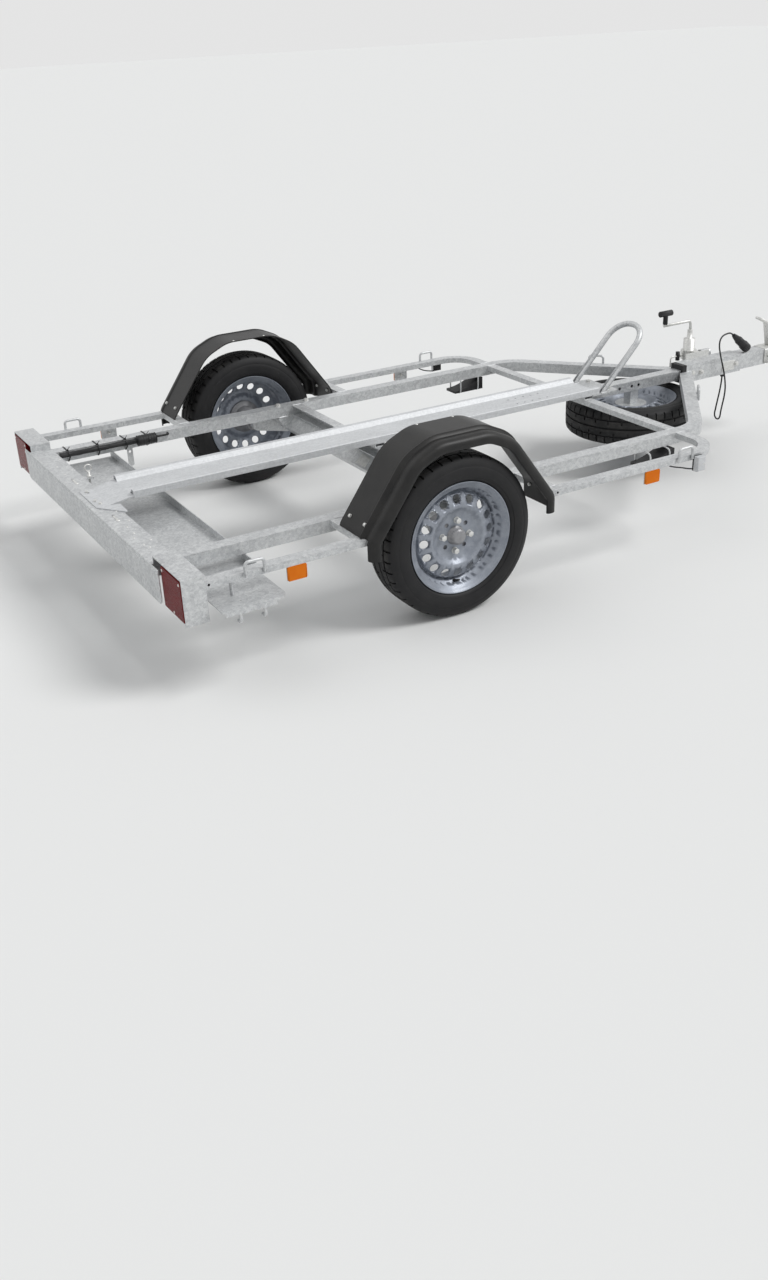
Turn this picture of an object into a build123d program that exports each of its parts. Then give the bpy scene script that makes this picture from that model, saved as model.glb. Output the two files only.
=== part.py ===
# Single-motorcycle trailer: a galvanised tube frame on a rubber-torsion axle, with a centre wheel
# channel, a front wheel chock, a stowed loading ramp, a spare wheel and a jockey wheel.
# Millimetres. X points forward along the drawbar, Y to the left, Z up, with Z = 0 on the ground.
# Every piece is drawn from the axle line (x = 0 at the wheel centres, y = 0 on the centre line)
# and is moved as it is written, so that the origin is under the middle of the whole trailer.
import os
from math import cos, pi, radians, sin, sqrt, tan

from build123d import *

# Clearances
SEAT = 0.3
RUNNING_GAP = 0.08
CLAMP_GAP = 0.1
CUT_PAST = 1.0
TYRE_TO_RAIL = 72.0
ARM_TO_HUB = 12.0

# Driving sizes: tyre and rim
TYRE_R = 264.0
TYRE_W = 150.0
TYRE_TREAD_W = 114.0
TYRE_TREAD_ROUND = 10.0
TYRE_SHOULDER_DROP = 3.0
TYRE_SHOULDER_IN = 9.0
TYRE_WALL_R = 225.0
TYRE_BEAD_RISE = 12.0
TYRE_BEAD_GAP = 1.0
RIM_FLANGE_R = 182.5
RIM_OVERALL_W = 131.0
RIM_INSIDE_W = 101.6
BEAD_SEAT_R = 164.7
BEAD_CLEARANCE = 0.4
WELL_R = 150.0
WELL_HALF_W = 20.0
WELL_SLOPE_W = 12.0
WELL_WALL_W = 2.0
RIM_SHEET = 3.5
DISC_SHEET = 4.5
DISC_FACE_Y = 30.0
DISC_DOME_Y = 18.0
DISC_FLAT_R = 66.0
DISC_RISE_W = 12.0
DISC_RISE_START = 4.0
DISC_CROWN_DROP = 3.0
DISC_SKIRT_R = 138.0
DISC_EDGE_DROP = 14.0
DISC_EDGE_L = 8.0
VENT_COUNT = 16
VENT_R = 14.0
VENT_CIRCLE_R = 122.0
BOLT_COUNT = 4
BOLT_CIRCLE_R = 50.0
BOLT_HOLE_R = 7.5
BOLT_START_DEG = 40.0
HUB_BORE_R = 31.0
CAP_R = 26.0
CAP_RISE = 28.0
CAP_STEP = 3.0
CAP_BEVEL = 6.0
HUB_BACK_Y = -80.0
HUB_BACK_R = 34.0
HUB_WAIST_R = 40.0
HUB_BODY_R = 46.0
HUB_FLANGE_R = 64.0
HUB_FLANGE_T = 12.0

# Driving sizes: main rails and outer rails
RAIL_TOP_Z = 339.0
RAIL_W = 50.0
RAIL_H = 40.0
RAIL_WALL = 3.0
RAIL_OUTER_Y = 613.0
RAIL_CORNER_X = 1187.0
RAIL_BEND_R = 150.0
RAIL_BEND_DEG = 50.0
SIDE_W = 40.0
SIDE_H = 20.0
SIDE_WALL = 2.0
SIDE_OUTER_Y = 820.0
SIDE_BEND_R = 110.0
SIDE_HOLE_R = 4.0
REAR_TIE_X = -305.0
FRONT_TIE_X = 355.0
FRONT_CROSS_X = 1085.0
MID_CROSS_X = 138.0
MID_CROSS_W = 40.0

# Driving sizes: rear beam and tail lamps
BEAM_REAR_X = -930.0
BEAM_FRONT_X = -850.0
BEAM_SHEET = 3.0
BEAM_BOTTOM_Z = 232.0
BEAM_LIP = 12.0
BEAM_FOLD_R = 2.5
BEAM_CORNER_R = 22.0
BEAM_BEAD_R = 2.5
BEAM_BEAD_DROP = 12.0
SLOT_MID_Y = 206.0
SLOT_L = 62.0
SLOT_W = 9.0
BOX_REAR_X = -922.0
BOX_TOP_Z = 366.0
BOX_BOTTOM_Z = 222.0
BOX_INNER_Y = 616.0
BOX_OUTER_Y = 829.0
BOX_RETURN = 8.0
LAMP_INNER_Y = 678.0
LAMP_TOP_Z = 359.0
LAMP_H = 126.0
LAMP_DEPTH = 34.0
LENS_DEPTH = 20.0
LENS_STAND = 2.0

# Driving sizes: axle
AXLE_X = 130.0
AXLE_TUBE = 60.0
AXLE_WALL = 4.0
AXLE_DROP = 3.0
SADDLE_L = 150.0
SADDLE_FOOT_L = 104.0
SADDLE_W = 50.0
ARM_T = 28.0
ARM_END_R = 26.0
SPINDLE_R = 15.0
SPINDLE_END_GAP = 1.0

# Driving sizes: mudguards
GUARD_MID_X = 5.0
GUARD_HALF_L = 349.7
GUARD_KNEE_Z = 341.0
GUARD_SHOULDER_HALF_L = 190.0
GUARD_SHOULDER_Z = 560.0
GUARD_TOP_HALF_L = 95.0
GUARD_TOP_Z = 603.0
GUARD_SHEET = 4.0
GUARD_INSIDE_W = 90.0
GUARD_OUTSIDE_W = 95.0
GUARD_SKIRT = 45.0
GUARD_BEND_R = 60.0
GUARD_FRONT_Z = 281.0
GUARD_REAR_Z = 275.0
GUARD_BEAD = 3.0

# Driving sizes: centre channel and wheel chock
CHANNEL_HALF_W = 97.5
CHANNEL_BOTTOM_Z = 352.0
CHANNEL_TOP_Z = 377.0
CHANNEL_SHEET = 3.0
CHANNEL_FOLD_R = 3.5
TROUGH_HALF_W = 62.0
TROUGH_TOP_HALF_W = 77.0
TROUGH_DEPTH = 16.0
CHANNEL_REAR_X = -787.0
CHANNEL_FRONT_X = 1140.0
TONGUE_REAR_X = -912.0
TONGUE_FLAT_L = 44.0
TONGUE_HALF_W = 87.0
TONGUE_HOLE_R = 4.5
PERFORATION_R = 5.0
PERFORATION_X = 790.0
PERFORATION_STEP = 36.0
PERFORATION_ROWS = 5
CHOCK_PLATE_T = 6.0
CHOCK_PLATE_FRONT_X = 1240.0
CHOCK_PLATE_CORNER_R = 20.0
CHOCK_TUBE_R = 11.5
CHOCK_HALF_W = 86.0
CHOCK_FOOT_X = 1162.0
CHOCK_TOP_X = 1378.0
CHOCK_TOP_Z = 571.0
CHOCK_BEND_R = 80.0

# Driving sizes: adjusting tube, drawbar and coupling
ADJUST_W = 50.0
ADJUST_H = 40.0
ADJUST_MID_Z = 326.0
ADJUST_INSIDE_L = 60.0
ADJUST_HOLE_R = 6.5
ADJUST_HOLE_X = (1120.0, 1156.0, 1270.0, 1306.0, 1370.0, 1406.0)
BAR_W = 70.0
BAR_H = 74.0
BAR_WALL = 4.0
BAR_BOTTOM_Z = 292.0
BAR_REAR_X = 1655.0
BAR_FRONT_X = 1965.0
PLUG_COLLAR_L = 22.0
PLUG_INSIDE_L = 36.0
NOSE_INSIDE_L = 60.0
NOSE_WALL = 3.0
NOSE_IN_HEAD_L = 47.0
BALL_FROM_NECK = 140.0
BALL_Z = 322.0
BALL_R = 25.0
SOCKET_CLEARANCE = 0.25
HEAD_FROM_BAR = 140.0
HEAD_SHEET = 4.0
HEAD_END_R = 43.0
HEAD_BOTTOM_Z = 300.0
HEAD_EDGE_R = 9.0
LEVER_W = 28.0
LEVER_T = 10.0
LEVER_BEND_R = 22.0
LEVER_BENDS = (
    {"behind_ball": 87.0, "z": 350.0},
    {"behind_ball": 114.0, "z": 468.0},
    {"behind_ball": 165.0, "z": 493.0},
)

# Driving sizes: jockey wheel
JOCKEY_FROM_BAR_END = 124.0
JOCKEY_Y = 90.0
OUTER_TUBE_R = 24.0
INNER_TUBE_R = 20.0
TUBE_TOP_Z = 436.0
TUBE_BOTTOM_Z = 226.0
TUBE_CAP_T = 10.0
NECK_R = 11.0
NECK_TOP_Z = 474.0
CRANK_R = 6.0
CRANK_Z = 510.0
CRANK_REACH = 143.0
CRANK_BEND_R = 14.0
GRIP_STEM_R = 10.0
GRIP_STEM_L = 32.0
GRIP_BAR_R = 12.0
GRIP_BAR_L = 62.0
CLAMP_BOTTOM_Z = 352.0
CLAMP_TOP_Z = 388.0
CLAMP_WALL = 9.0
CLAMP_PLATE_T = 6.0
CLAMP_PLATE_L = 130.0
CLAMP_WEB_T = 22.0
SCREW_R = 6.0
SCREW_L = 66.0
KNOB_L = 36.0
KNOB_R = 9.0
PAD_R = 8.0
KNOB_AT = 18.0
LEVER_ROD_DROP = 40.0
PLUG_TUBE_R = 17.0
PLUG_TUBE_WALL = 2.0
PLUG_TUBE_L = 48.0
PLUG_TUBE_FROM_JOCKEY = 35.0
INNER_TUBE_TOP_Z = 366.0
STEM_END_GAP = 2.0
FORK_CROWN_Z = 168.0
FORK_CROWN_T = 8.0
FORK_CHEEK_T = 5.0
FORK_SIDE_GAP = 4.0
FORK_CROWN_FRONT = 24.0
STEM_R = 11.0
STEM_L = 46.0
JOCKEY_WHEEL_R = 80.0
JOCKEY_WHEEL_W = 50.0
JOCKEY_TYRE_ROUND = 12.0
JOCKEY_RIM_R = 56.0
JOCKEY_RIM_LIP = 5.0
JOCKEY_RIM_RING = 12.0
JOCKEY_WEB_HALF_T = 6.0
JOCKEY_BOSS_R = 15.0
JOCKEY_BOSS_PROUD = 2.0
JOCKEY_TRAIL = 40.0
JOCKEY_PIN_R = 6.0

# Driving sizes: tie-down hoops, reflectors and marker lamps
HOOP_ROD_R = 5.0
HOOP_W = 70.0
HOOP_RISE = 36.0
HOOP_LEG = 13.0
HOOP_BEND_R = 12.0
SIDE_HOOP_X = (-698.0, 915.0)
FRONT_HOOP_ALONG = 387.0
TAB_X = (-565.0, 775.0)
TAB_W = 62.0
TAB_H = 45.0
TAB_T = 3.0
TAB_SET_IN = 5.0
REFLECTOR_T = 6.0
REFLECTOR_CORNER_R = 5.0
MARKER_X = 972.0
MARKER_W = 38.0
MARKER_TOP_Z = 332.0
MARKER_H = 51.0
MARKER_BASE_T = 6.0
MARKER_LENS_T = 20.0
MARKER_EDGE_R = 6.0

# Driving sizes: loading ramp
RAMP_REAR_X = -838.0
RAMP_W = 205.0
RAMP_NEAR_Y = -905.0
RAMP_FAR_Y = 590.0
RAMP_BOTTOM_Z = 270.0
RAMP_SHEET = 3.0
RAMP_LIP_NEAR_Y = -720.0
RAMP_CORNER_R = 8.0
RAMP_ROUND_R = 38.0
RAMP_HOLE_X = -764.0
RAMP_HOLE_Y = -854.0
RAMP_HOLE_R = 5.0
RAMP_END_LIP = 15.0
HOOK_R = 5.0
HOOK_X = (-785.0, -709.0)
HOOK_DROP = 44.0
HANGER_W = 40.0
HANGER_T = 4.0
STUD_R = 6.0
STUD_Y = -800.0
PIN_X = -820.0
PIN_Y = 270.0
PIN_R = 4.0
PIN_RING_R = 12.0
PIN_RING_ROD_R = 2.5
LUG_W = 30.0
LUG_T = 4.0
LUG_L = 45.0
STRAP_X = -571.0
STRAP_W = 22.0
STRAP_BOTTOM_Z = 232.0
STRAP_HOLE_Z = 288.0

# Driving sizes: spare wheel and its carrier
SPARE_X = 1390.0
SPARE_Z = 214.0
CARRIER_PLATE_R = 64.0
CARRIER_PLATE_T = 6.0
CARRIER_POST = 40.0
STUD_HEX_R = 10.0
STUD_HEX_H = 8.0
CARRIER_STUD_R = 6.0

# Driving sizes: wiring and supply cable
LOOM_R = 9.0
LOOM_REAR_X = -838.0
LOOM_Z = 328.0
WRAP_REAR_X = -545.0
WRAP_FRONT_X = -467.0
WRAP_R = 19.0
WIRE_R = 4.0
WIRE_HOLE_X = -414.0
WIRE_HOLE_GAP = 1.0
GLAND_X = 1875.0
GLAND_Y = -22.0
GLAND_R = 8.0
GLAND_FLANGE_R = 12.0
GLAND_FLANGE_T = 3.0
GLAND_L = 12.0
CABLE_R = 3.25
CABLE_ROUTE = (
    (1875.0, -22.0, 262.0),
    (1869.0, -25.0, 236.0),
    (1862.0, -26.0, 202.0),
    (1855.0, -26.0, 170.0),
    (1849.0, -27.0, 143.0),
    (1845.0, -26.0, 119.0),
    (1842.0, -39.0, 106.0),
    (1838.0, -57.0, 106.0),
    (1835.0, -70.0, 119.0),
    (1835.0, -72.0, 146.0),
    (1842.0, -71.0, 176.0),
    (1850.0, -70.0, 208.0),
    (1854.0, -68.0, 243.0),
    (1849.0, -66.0, 281.0),
    (1841.0, -63.0, 317.0),
    (1830.0, -60.0, 352.0),
    (1819.0, -56.0, 391.0),
    (1814.0, -51.0, 424.0),
    (1821.0, -46.0, 448.0),
    (1842.0, -40.0, 462.0),
    (1874.0, -33.0, 464.0),
    (1903.2, -24.2, 460.8),
)
CABLE_END = (1920.7, -22.9, 447.5)
CONNECTOR_HEAD = (2011.7, -16.14, 378.34)
CONNECTOR_R = 20.0
CONNECTOR_TAIL_R = 8.0
CONNECTOR_TAIL_L = 38.0
CONNECTOR_SHELL_L = 80.0
CONNECTOR_STEP = 4.0
CONNECTOR_SHELL_IN = 3.0
CABLE_ROUNDING = 0.45

# Worked out from the driving sizes
RAIL_BOTTOM_Z = RAIL_TOP_Z - RAIL_H
RAIL_MID_Z = RAIL_TOP_Z - RAIL_H / 2
RAIL_MID_Y = RAIL_OUTER_Y - RAIL_W / 2
RAIL_INNER_Y = RAIL_OUTER_Y - RAIL_W
SIDE_MID_Y = SIDE_OUTER_Y - SIDE_W / 2
SIDE_BOTTOM_Z = RAIL_TOP_Z - SIDE_H
SIDE_MID_Z = RAIL_TOP_Z - SIDE_H / 2
BEAM_TOP_Z = RAIL_TOP_Z + BEAM_SHEET
BOX_BACK_X = BOX_REAR_X + LAMP_DEPTH
AXLE_HALF_DIAGONAL = AXLE_TUBE / sqrt(2)
AXLE_Z = RAIL_BOTTOM_Z - AXLE_DROP - AXLE_HALF_DIAGONAL
WHEEL_PLANE_Y = RAIL_OUTER_Y + TYRE_TO_RAIL + TYRE_W / 2
AXLE_HALF_L = WHEEL_PLANE_Y + HUB_BACK_Y - ARM_TO_HUB - ARM_T
GUARD_INNER_Y = WHEEL_PLANE_Y - GUARD_INSIDE_W
GUARD_OUTER_Y = WHEEL_PLANE_Y + GUARD_OUTSIDE_W
ADJUST_TOP_Z = ADJUST_MID_Z + ADJUST_H / 2
ADJUST_BOTTOM_Z = ADJUST_MID_Z - ADJUST_H / 2
BAR_TOP_Z = BAR_BOTTOM_Z + BAR_H
NOSE_HALF_W = BAR_W / 2 - BAR_WALL - SEAT
NOSE_BOTTOM_Z = BAR_BOTTOM_Z + BAR_WALL + SEAT
NOSE_TOP_Z = BAR_TOP_Z - BAR_WALL - SEAT
HEAD_REAR_X = BAR_FRONT_X + HEAD_FROM_BAR
NOSE_FRONT_X = HEAD_REAR_X + NOSE_IN_HEAD_L
BALL_X = HEAD_REAR_X + BALL_FROM_NECK
JOCKEY_X = BAR_REAR_X + JOCKEY_FROM_BAR_END
PLUG_TUBE_REAR_X = JOCKEY_X + PLUG_TUBE_FROM_JOCKEY
COUPLING_FRONT_X = BALL_X + HEAD_END_R
ORIGIN_X = (BEAM_REAR_X - BEAM_BEAD_R + COUPLING_FRONT_X) / 2
ORIGIN_Y = (RAMP_NEAR_Y + GUARD_OUTER_Y) / 2

parts = {}


def box(x0, x1, y0, y1, z0, z1):
    """A block between six faces."""
    size = (abs(x1 - x0), abs(y1 - y0), abs(z1 - z0))
    return Pos((x0 + x1) / 2, (y0 + y1) / 2, (z0 + z1) / 2) * Box(*size)


def rod(start, end, radius):
    """A round bar between two points."""
    axis = Vector(*end) - Vector(*start)
    return extrude(Plane(origin=start, z_dir=axis) * Circle(radius), axis.length)


def post(x, y, z0, z1, radius):
    """An upright round bar."""
    return rod((x, y, z0), (x, y, z1), radius)


def bent_rod(points, bend_r, radius):
    """A round bar along a route with rounded corners."""
    route = FilletPolyline(*points, radius=bend_r)
    return sweep(Plane(origin=route @ 0, z_dir=route % 0) * Circle(radius), route)


def turned(outline):
    """A ring turned about the Y axis from (radius, offset) points."""
    face = make_face(Polyline(*[(r, off, 0) for r, off in outline], close=True))
    return revolve(face, Axis.Y, 360)


def tube_blocks(points, bend_r, width, height, wall):
    """The outer and the inner block of a rectangular tube along a flat route."""
    route = FilletPolyline(*points, radius=bend_r)
    start = Plane(origin=route @ 0, x_dir=(0, 0, 1), z_dir=route % 0)
    outer = sweep(start * Rectangle(height, width), route)
    inner = sweep(start * Rectangle(height - 2 * wall, width - 2 * wall), route)
    return outer, inner


def straight_tube(x0, x1, y0, y1, z0, z1, wall, along):
    """A straight rectangular tube, open at both ends of the named axis."""
    dx, dy = (0, wall) if along == "x" else (wall, 0)
    hollow = box(x0 + dx, x1 - dx, y0 + dy, y1 - dy, z0 + wall, z1 - wall)
    return box(x0, x1, y0, y1, z0, z1) - hollow


def slab(face, y0, y1):
    """A face drawn in X and Z, made solid between two Y planes."""
    return Pos(0, y1, 0) * extrude(Plane.XZ * face, y1 - y0)


def mirrored(shape):
    """The same piece on the other side of the centre line."""
    return mirror(shape, Plane.XZ)


def both(shape):
    """A left piece and its right twin."""
    return [shape, mirrored(shape)]


def add(name, *solids):
    """Keeps the solids of one node under its name."""
    parts[name] = solids


# Main rails: each runs back under the rear beam and turns in at the front to the drawbar.
turn = radians(RAIL_BEND_DEG)
front_run = (RAIL_MID_Y - BAR_W / 2) / sin(turn) + RAIL_W
rail_end = (
    RAIL_CORNER_X + front_run * cos(turn),
    RAIL_MID_Y - front_run * sin(turn),
    RAIL_MID_Z,
)
rail_start = (BEAM_REAR_X + BEAM_SHEET, RAIL_MID_Y, RAIL_MID_Z)
rail_corner = (RAIL_CORNER_X, RAIL_MID_Y, RAIL_MID_Z)
rail_route = [rail_start, rail_corner, rail_end]
outer, inner = tube_blocks(rail_route, RAIL_BEND_R, RAIL_W, RAIL_H, RAIL_WALL)
rail = outer - inner
rail -= box(RAIL_CORNER_X, rail_end[0] + RAIL_W, -RAIL_MID_Y, BAR_W / 2, 0, BOX_TOP_Z)
wire_hole = rod((WIRE_HOLE_X, 0, LOOM_Z), (WIRE_HOLE_X, RAIL_MID_Y, LOOM_Z), WIRE_R + WIRE_HOLE_GAP)
add("main_rails", rail - wire_hole, mirrored(rail))


def side_frame(points, end_x, end_wall_x, tie_x):
    """An outer rail with one closed end, tied to the main rail by a short welded tube."""
    outer, inner = tube_blocks(points, SIDE_BEND_R, SIDE_W, SIDE_H, SIDE_WALL)
    z0, z1 = SIDE_BOTTOM_Z, RAIL_TOP_Z
    wall = SIDE_WALL
    outer += box(tie_x, tie_x + SIDE_W, RAIL_OUTER_Y, SIDE_MID_Y, z0, z1)
    inner += box(tie_x + wall, tie_x + SIDE_W - wall, RAIL_OUTER_Y, SIDE_MID_Y, z0 + wall, z1 - wall)
    frame = outer - inner
    return frame + box(end_x, end_wall_x, SIDE_OUTER_Y - SIDE_W, SIDE_OUTER_Y, z0, z1)


def reflector_tab(x_mid):
    """The tab welded under an outer rail for a side reflector."""
    y1 = SIDE_OUTER_Y - TAB_SET_IN
    return box(x_mid - TAB_W / 2, x_mid + TAB_W / 2, y1 - TAB_T, y1, SIDE_BOTTOM_Z - TAB_H, SIDE_BOTTOM_Z)


def side_hole(x):
    """What a hole through the outer wall of an outer rail takes away."""
    return rod((x, SIDE_MID_Y, SIDE_MID_Z), (x, SIDE_OUTER_Y + CUT_PAST, SIDE_MID_Z), SIDE_HOLE_R)


# Front hoop: outer rails that curve in at the front corners, and the tube between the main rails.
front_points = [
    (FRONT_TIE_X, SIDE_MID_Y, SIDE_MID_Z),
    (FRONT_CROSS_X, SIDE_MID_Y, SIDE_MID_Z),
    (FRONT_CROSS_X, RAIL_OUTER_Y, SIDE_MID_Z),
]
corner = side_frame(front_points, FRONT_TIE_X, FRONT_TIE_X + SIDE_WALL, FRONT_TIE_X)
corner += reflector_tab(TAB_X[1])
front_hole_x = FRONT_TIE_X + SIDE_W / 2
corner -= side_hole(front_hole_x)
cross = straight_tube(
    FRONT_CROSS_X - SIDE_W / 2, FRONT_CROSS_X + SIDE_W / 2, -RAIL_INNER_Y, RAIL_INNER_Y,
    SIDE_BOTTOM_Z, RAIL_TOP_Z, SIDE_WALL, "y",
)
add("front_hoop", *both(corner), cross)

# Rear outer rails, each with the tie tube that the mudguard's rear leg stands on.
rear_start_x = BOX_BACK_X + BEAM_SHEET
rear_outer = box(rear_start_x, REAR_TIE_X, SIDE_OUTER_Y - SIDE_W, SIDE_OUTER_Y, SIDE_BOTTOM_Z, RAIL_TOP_Z)
rear_outer += box(REAR_TIE_X - SIDE_W, REAR_TIE_X, RAIL_OUTER_Y, SIDE_MID_Y, SIDE_BOTTOM_Z, RAIL_TOP_Z)
rear_inner = box(
    rear_start_x, REAR_TIE_X - SIDE_WALL, SIDE_OUTER_Y - SIDE_W + SIDE_WALL, SIDE_OUTER_Y - SIDE_WALL,
    SIDE_BOTTOM_Z + SIDE_WALL, RAIL_TOP_Z - SIDE_WALL,
)
rear_inner += box(
    REAR_TIE_X - SIDE_W + SIDE_WALL, REAR_TIE_X - SIDE_WALL, RAIL_OUTER_Y, SIDE_MID_Y,
    SIDE_BOTTOM_Z + SIDE_WALL, RAIL_TOP_Z - SIDE_WALL,
)
rear_side = rear_outer - rear_inner
rear_side += reflector_tab(TAB_X[0])
rear_hole_x = BEAM_FRONT_X + BEAM_LIP
rear_side -= side_hole(rear_hole_x)
add("rear_side_rails", *both(rear_side))

# Cross channel between the main rails near the axle, open to the rear.
mid_x0 = MID_CROSS_X - MID_CROSS_W / 2
mid_x1 = MID_CROSS_X + MID_CROSS_W / 2
mid_cross = box(mid_x0, mid_x1, -RAIL_INNER_Y, RAIL_INNER_Y, RAIL_BOTTOM_Z, RAIL_TOP_Z)
mid_cross -= box(
    mid_x0, mid_x1 - RAIL_WALL, -RAIL_INNER_Y, RAIL_INNER_Y, RAIL_BOTTOM_Z + RAIL_WALL, RAIL_TOP_Z - RAIL_WALL
)
add("mid_cross", mid_cross)

# Rear beam: a folded sheet across the main rails, with a raised lamp box at each end.
fold_y = LAMP_INNER_Y - 2 * BEAM_SHEET
beam_plate = box(BEAM_REAR_X, BEAM_FRONT_X, -BOX_INNER_Y, BOX_INNER_Y, RAIL_TOP_Z, BEAM_TOP_Z)
beam_flange = box(BEAM_REAR_X, BEAM_REAR_X + BEAM_SHEET, -fold_y, fold_y, BEAM_BOTTOM_Z, BEAM_TOP_Z)
beam_flange = fillet(beam_flange.edges().filter_by(Axis.X).group_by(Axis.Z)[0], BEAM_CORNER_R)
beam_lip = box(
    BEAM_FRONT_X - BEAM_SHEET, BEAM_FRONT_X, -RAIL_INNER_Y + SEAT, RAIL_INNER_Y - SEAT,
    RAIL_TOP_Z - BEAM_LIP, RAIL_TOP_Z,
)
beam = beam_plate + beam_flange + beam_lip
fold_edges = beam.edges().filter_by(Axis.Y).group_by(Axis.Z)[-1].group_by(Axis.X)[0]
beam = fillet(fold_edges, BEAM_FOLD_R)
bead_z = BEAM_TOP_Z - BEAM_BEAD_DROP
beam += rod((BEAM_REAR_X, -fold_y, bead_z), (BEAM_REAR_X, fold_y, bead_z), BEAM_BEAD_R)
lug_y0, lug_y1 = PIN_Y - LUG_W / 2, PIN_Y + LUG_W / 2
lug_z1 = RAIL_TOP_Z - BEAM_LIP
lug_x0 = BEAM_FRONT_X - BEAM_SHEET
beam += box(lug_x0, lug_x0 + LUG_L, lug_y0, lug_y1, lug_z1 - LUG_T, lug_z1)
beam -= post(PIN_X, PIN_Y, lug_z1 - 2 * LUG_T, lug_z1 + LUG_T, PIN_R + SEAT)
slot_mid_x = (BEAM_REAR_X + BEAM_FRONT_X) / 2
slot = Rot(0, 0, 90) * extrude(SlotOverall(SLOT_L, SLOT_W), BEAM_SHEET)
slot = Pos(slot_mid_x, SLOT_MID_Y, RAIL_TOP_Z) * slot
for piece in both(slot):
    beam -= piece
box_pieces = []
return_x = BEAM_FRONT_X - BEAM_SHEET
for side in (1, -1):
    y_in = side * BOX_INNER_Y
    y_out = side * BOX_OUTER_Y
    step = side * BEAM_SHEET
    box_pieces += [
        box(BOX_REAR_X, BEAM_FRONT_X, y_in, y_out, BOX_TOP_Z - BEAM_SHEET, BOX_TOP_Z),
        box(BOX_REAR_X, BEAM_FRONT_X, y_in, y_in + step, RAIL_TOP_Z, BOX_TOP_Z),
        box(BOX_REAR_X, BEAM_FRONT_X, y_out - step, y_out, BOX_BOTTOM_Z, BOX_TOP_Z),
        box(BOX_BACK_X, BOX_BACK_X + BEAM_SHEET, y_in, y_out, BEAM_BOTTOM_Z, BOX_TOP_Z),
        box(return_x, BEAM_FRONT_X, y_out - side * BOX_RETURN, y_out, BOX_BOTTOM_Z, BOX_TOP_Z),
    ]
beam = beam.fuse(*box_pieces)
add("rear_beam", beam)

# Tail lamps at the ends of the beam: a dark body against the box's back and a red lens over it.
lamp_y1 = BOX_OUTER_Y - BEAM_SHEET - SEAT
body_x0 = BOX_BACK_X - LAMP_DEPTH + LENS_DEPTH - LENS_STAND
tail_body = box(body_x0, BOX_BACK_X, LAMP_INNER_Y, lamp_y1, LAMP_TOP_Z - LAMP_H, LAMP_TOP_Z)
tail_lens = box(body_x0 - LENS_DEPTH, body_x0, LAMP_INNER_Y, lamp_y1, LAMP_TOP_Z - LAMP_H, LAMP_TOP_Z)
tail_lens = fillet(tail_lens.edges().filter_by(Axis.X), MARKER_EDGE_R)
tail_lens = fillet(tail_lens.faces().sort_by(Axis.X)[0].edges(), MARKER_EDGE_R / 2)

# Marker lamps at the front corners: a dark base on the outer rail and a clear lens.
marker_y0 = SIDE_OUTER_Y + SEAT
marker_y1 = marker_y0 + MARKER_BASE_T
marker_x0, marker_x1 = MARKER_X - MARKER_W / 2, MARKER_X + MARKER_W / 2
marker_z0 = MARKER_TOP_Z - MARKER_H
marker_base = box(marker_x0, marker_x1, marker_y0, marker_y1, marker_z0, MARKER_TOP_Z)
marker_lens = box(marker_x0, marker_x1, marker_y1, marker_y1 + MARKER_LENS_T, marker_z0, MARKER_TOP_Z)
marker_lens = fillet(marker_lens.faces().sort_by(Axis.Y)[-1].edges(), MARKER_EDGE_R)
add("lamp_bodies", *both(tail_body), *both(marker_base))
add("tail_lamp_lenses", *both(tail_lens))
add("marker_lenses", *both(marker_lens))

# Amber side reflectors on the tabs.
reflectors = []
for x_mid in TAB_X:
    y0 = SIDE_OUTER_Y - TAB_SET_IN + SEAT
    plate = box(
        x_mid - TAB_W / 2, x_mid + TAB_W / 2, y0, y0 + REFLECTOR_T,
        SIDE_BOTTOM_Z - TAB_H, SIDE_BOTTOM_Z - SEAT,
    )
    reflectors += both(fillet(plate.edges().filter_by(Axis.Y), REFLECTOR_CORNER_R))
add("side_reflectors", *reflectors)

# Axle: a square tube on its corner under the main rails, with a saddle bracket at each rail.
diamond = Pos(AXLE_X, AXLE_Z) * Rot(0, 0, 45) * Rectangle(AXLE_TUBE, AXLE_TUBE)
bore = Pos(AXLE_X, AXLE_Z) * Rot(0, 0, 45) * Rectangle(AXLE_TUBE - 2 * AXLE_WALL, AXLE_TUBE - 2 * AXLE_WALL)
add("axle_beam", slab(diamond - bore, -AXLE_HALF_L, AXLE_HALF_L))
saddle_face = make_face(Polyline(
    (AXLE_X - SADDLE_L / 2, RAIL_BOTTOM_Z), (AXLE_X + SADDLE_L / 2, RAIL_BOTTOM_Z),
    (AXLE_X + SADDLE_L / 2, RAIL_BOTTOM_Z - 2 * AXLE_WALL), (AXLE_X + SADDLE_FOOT_L / 2, AXLE_Z),
    (AXLE_X - SADDLE_FOOT_L / 2, AXLE_Z), (AXLE_X - SADDLE_L / 2, RAIL_BOTTOM_Z - 2 * AXLE_WALL), close=True,
))
saddle = slab(saddle_face, RAIL_MID_Y - SADDLE_W / 2, RAIL_MID_Y + SADDLE_W / 2)
saddle -= slab(diamond, -AXLE_HALF_L, AXLE_HALF_L)
add("axle_brackets", *both(saddle))

# Torsion arms trailing from the axle ends, each with its spindle.
arm_face = make_hull(
    (Pos(AXLE_X, AXLE_Z) * Circle(AXLE_HALF_DIAGONAL)).edges() + (Pos(0, TYRE_R) * Circle(ARM_END_R)).edges()
)
arm_y1 = AXLE_HALF_L + ARM_T
arm = slab(arm_face, AXLE_HALF_L, arm_y1)
arm += rod((0, AXLE_HALF_L, TYRE_R), (0, WHEEL_PLANE_Y, TYRE_R), SPINDLE_R)
add("torsion_arms", *both(arm))

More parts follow.
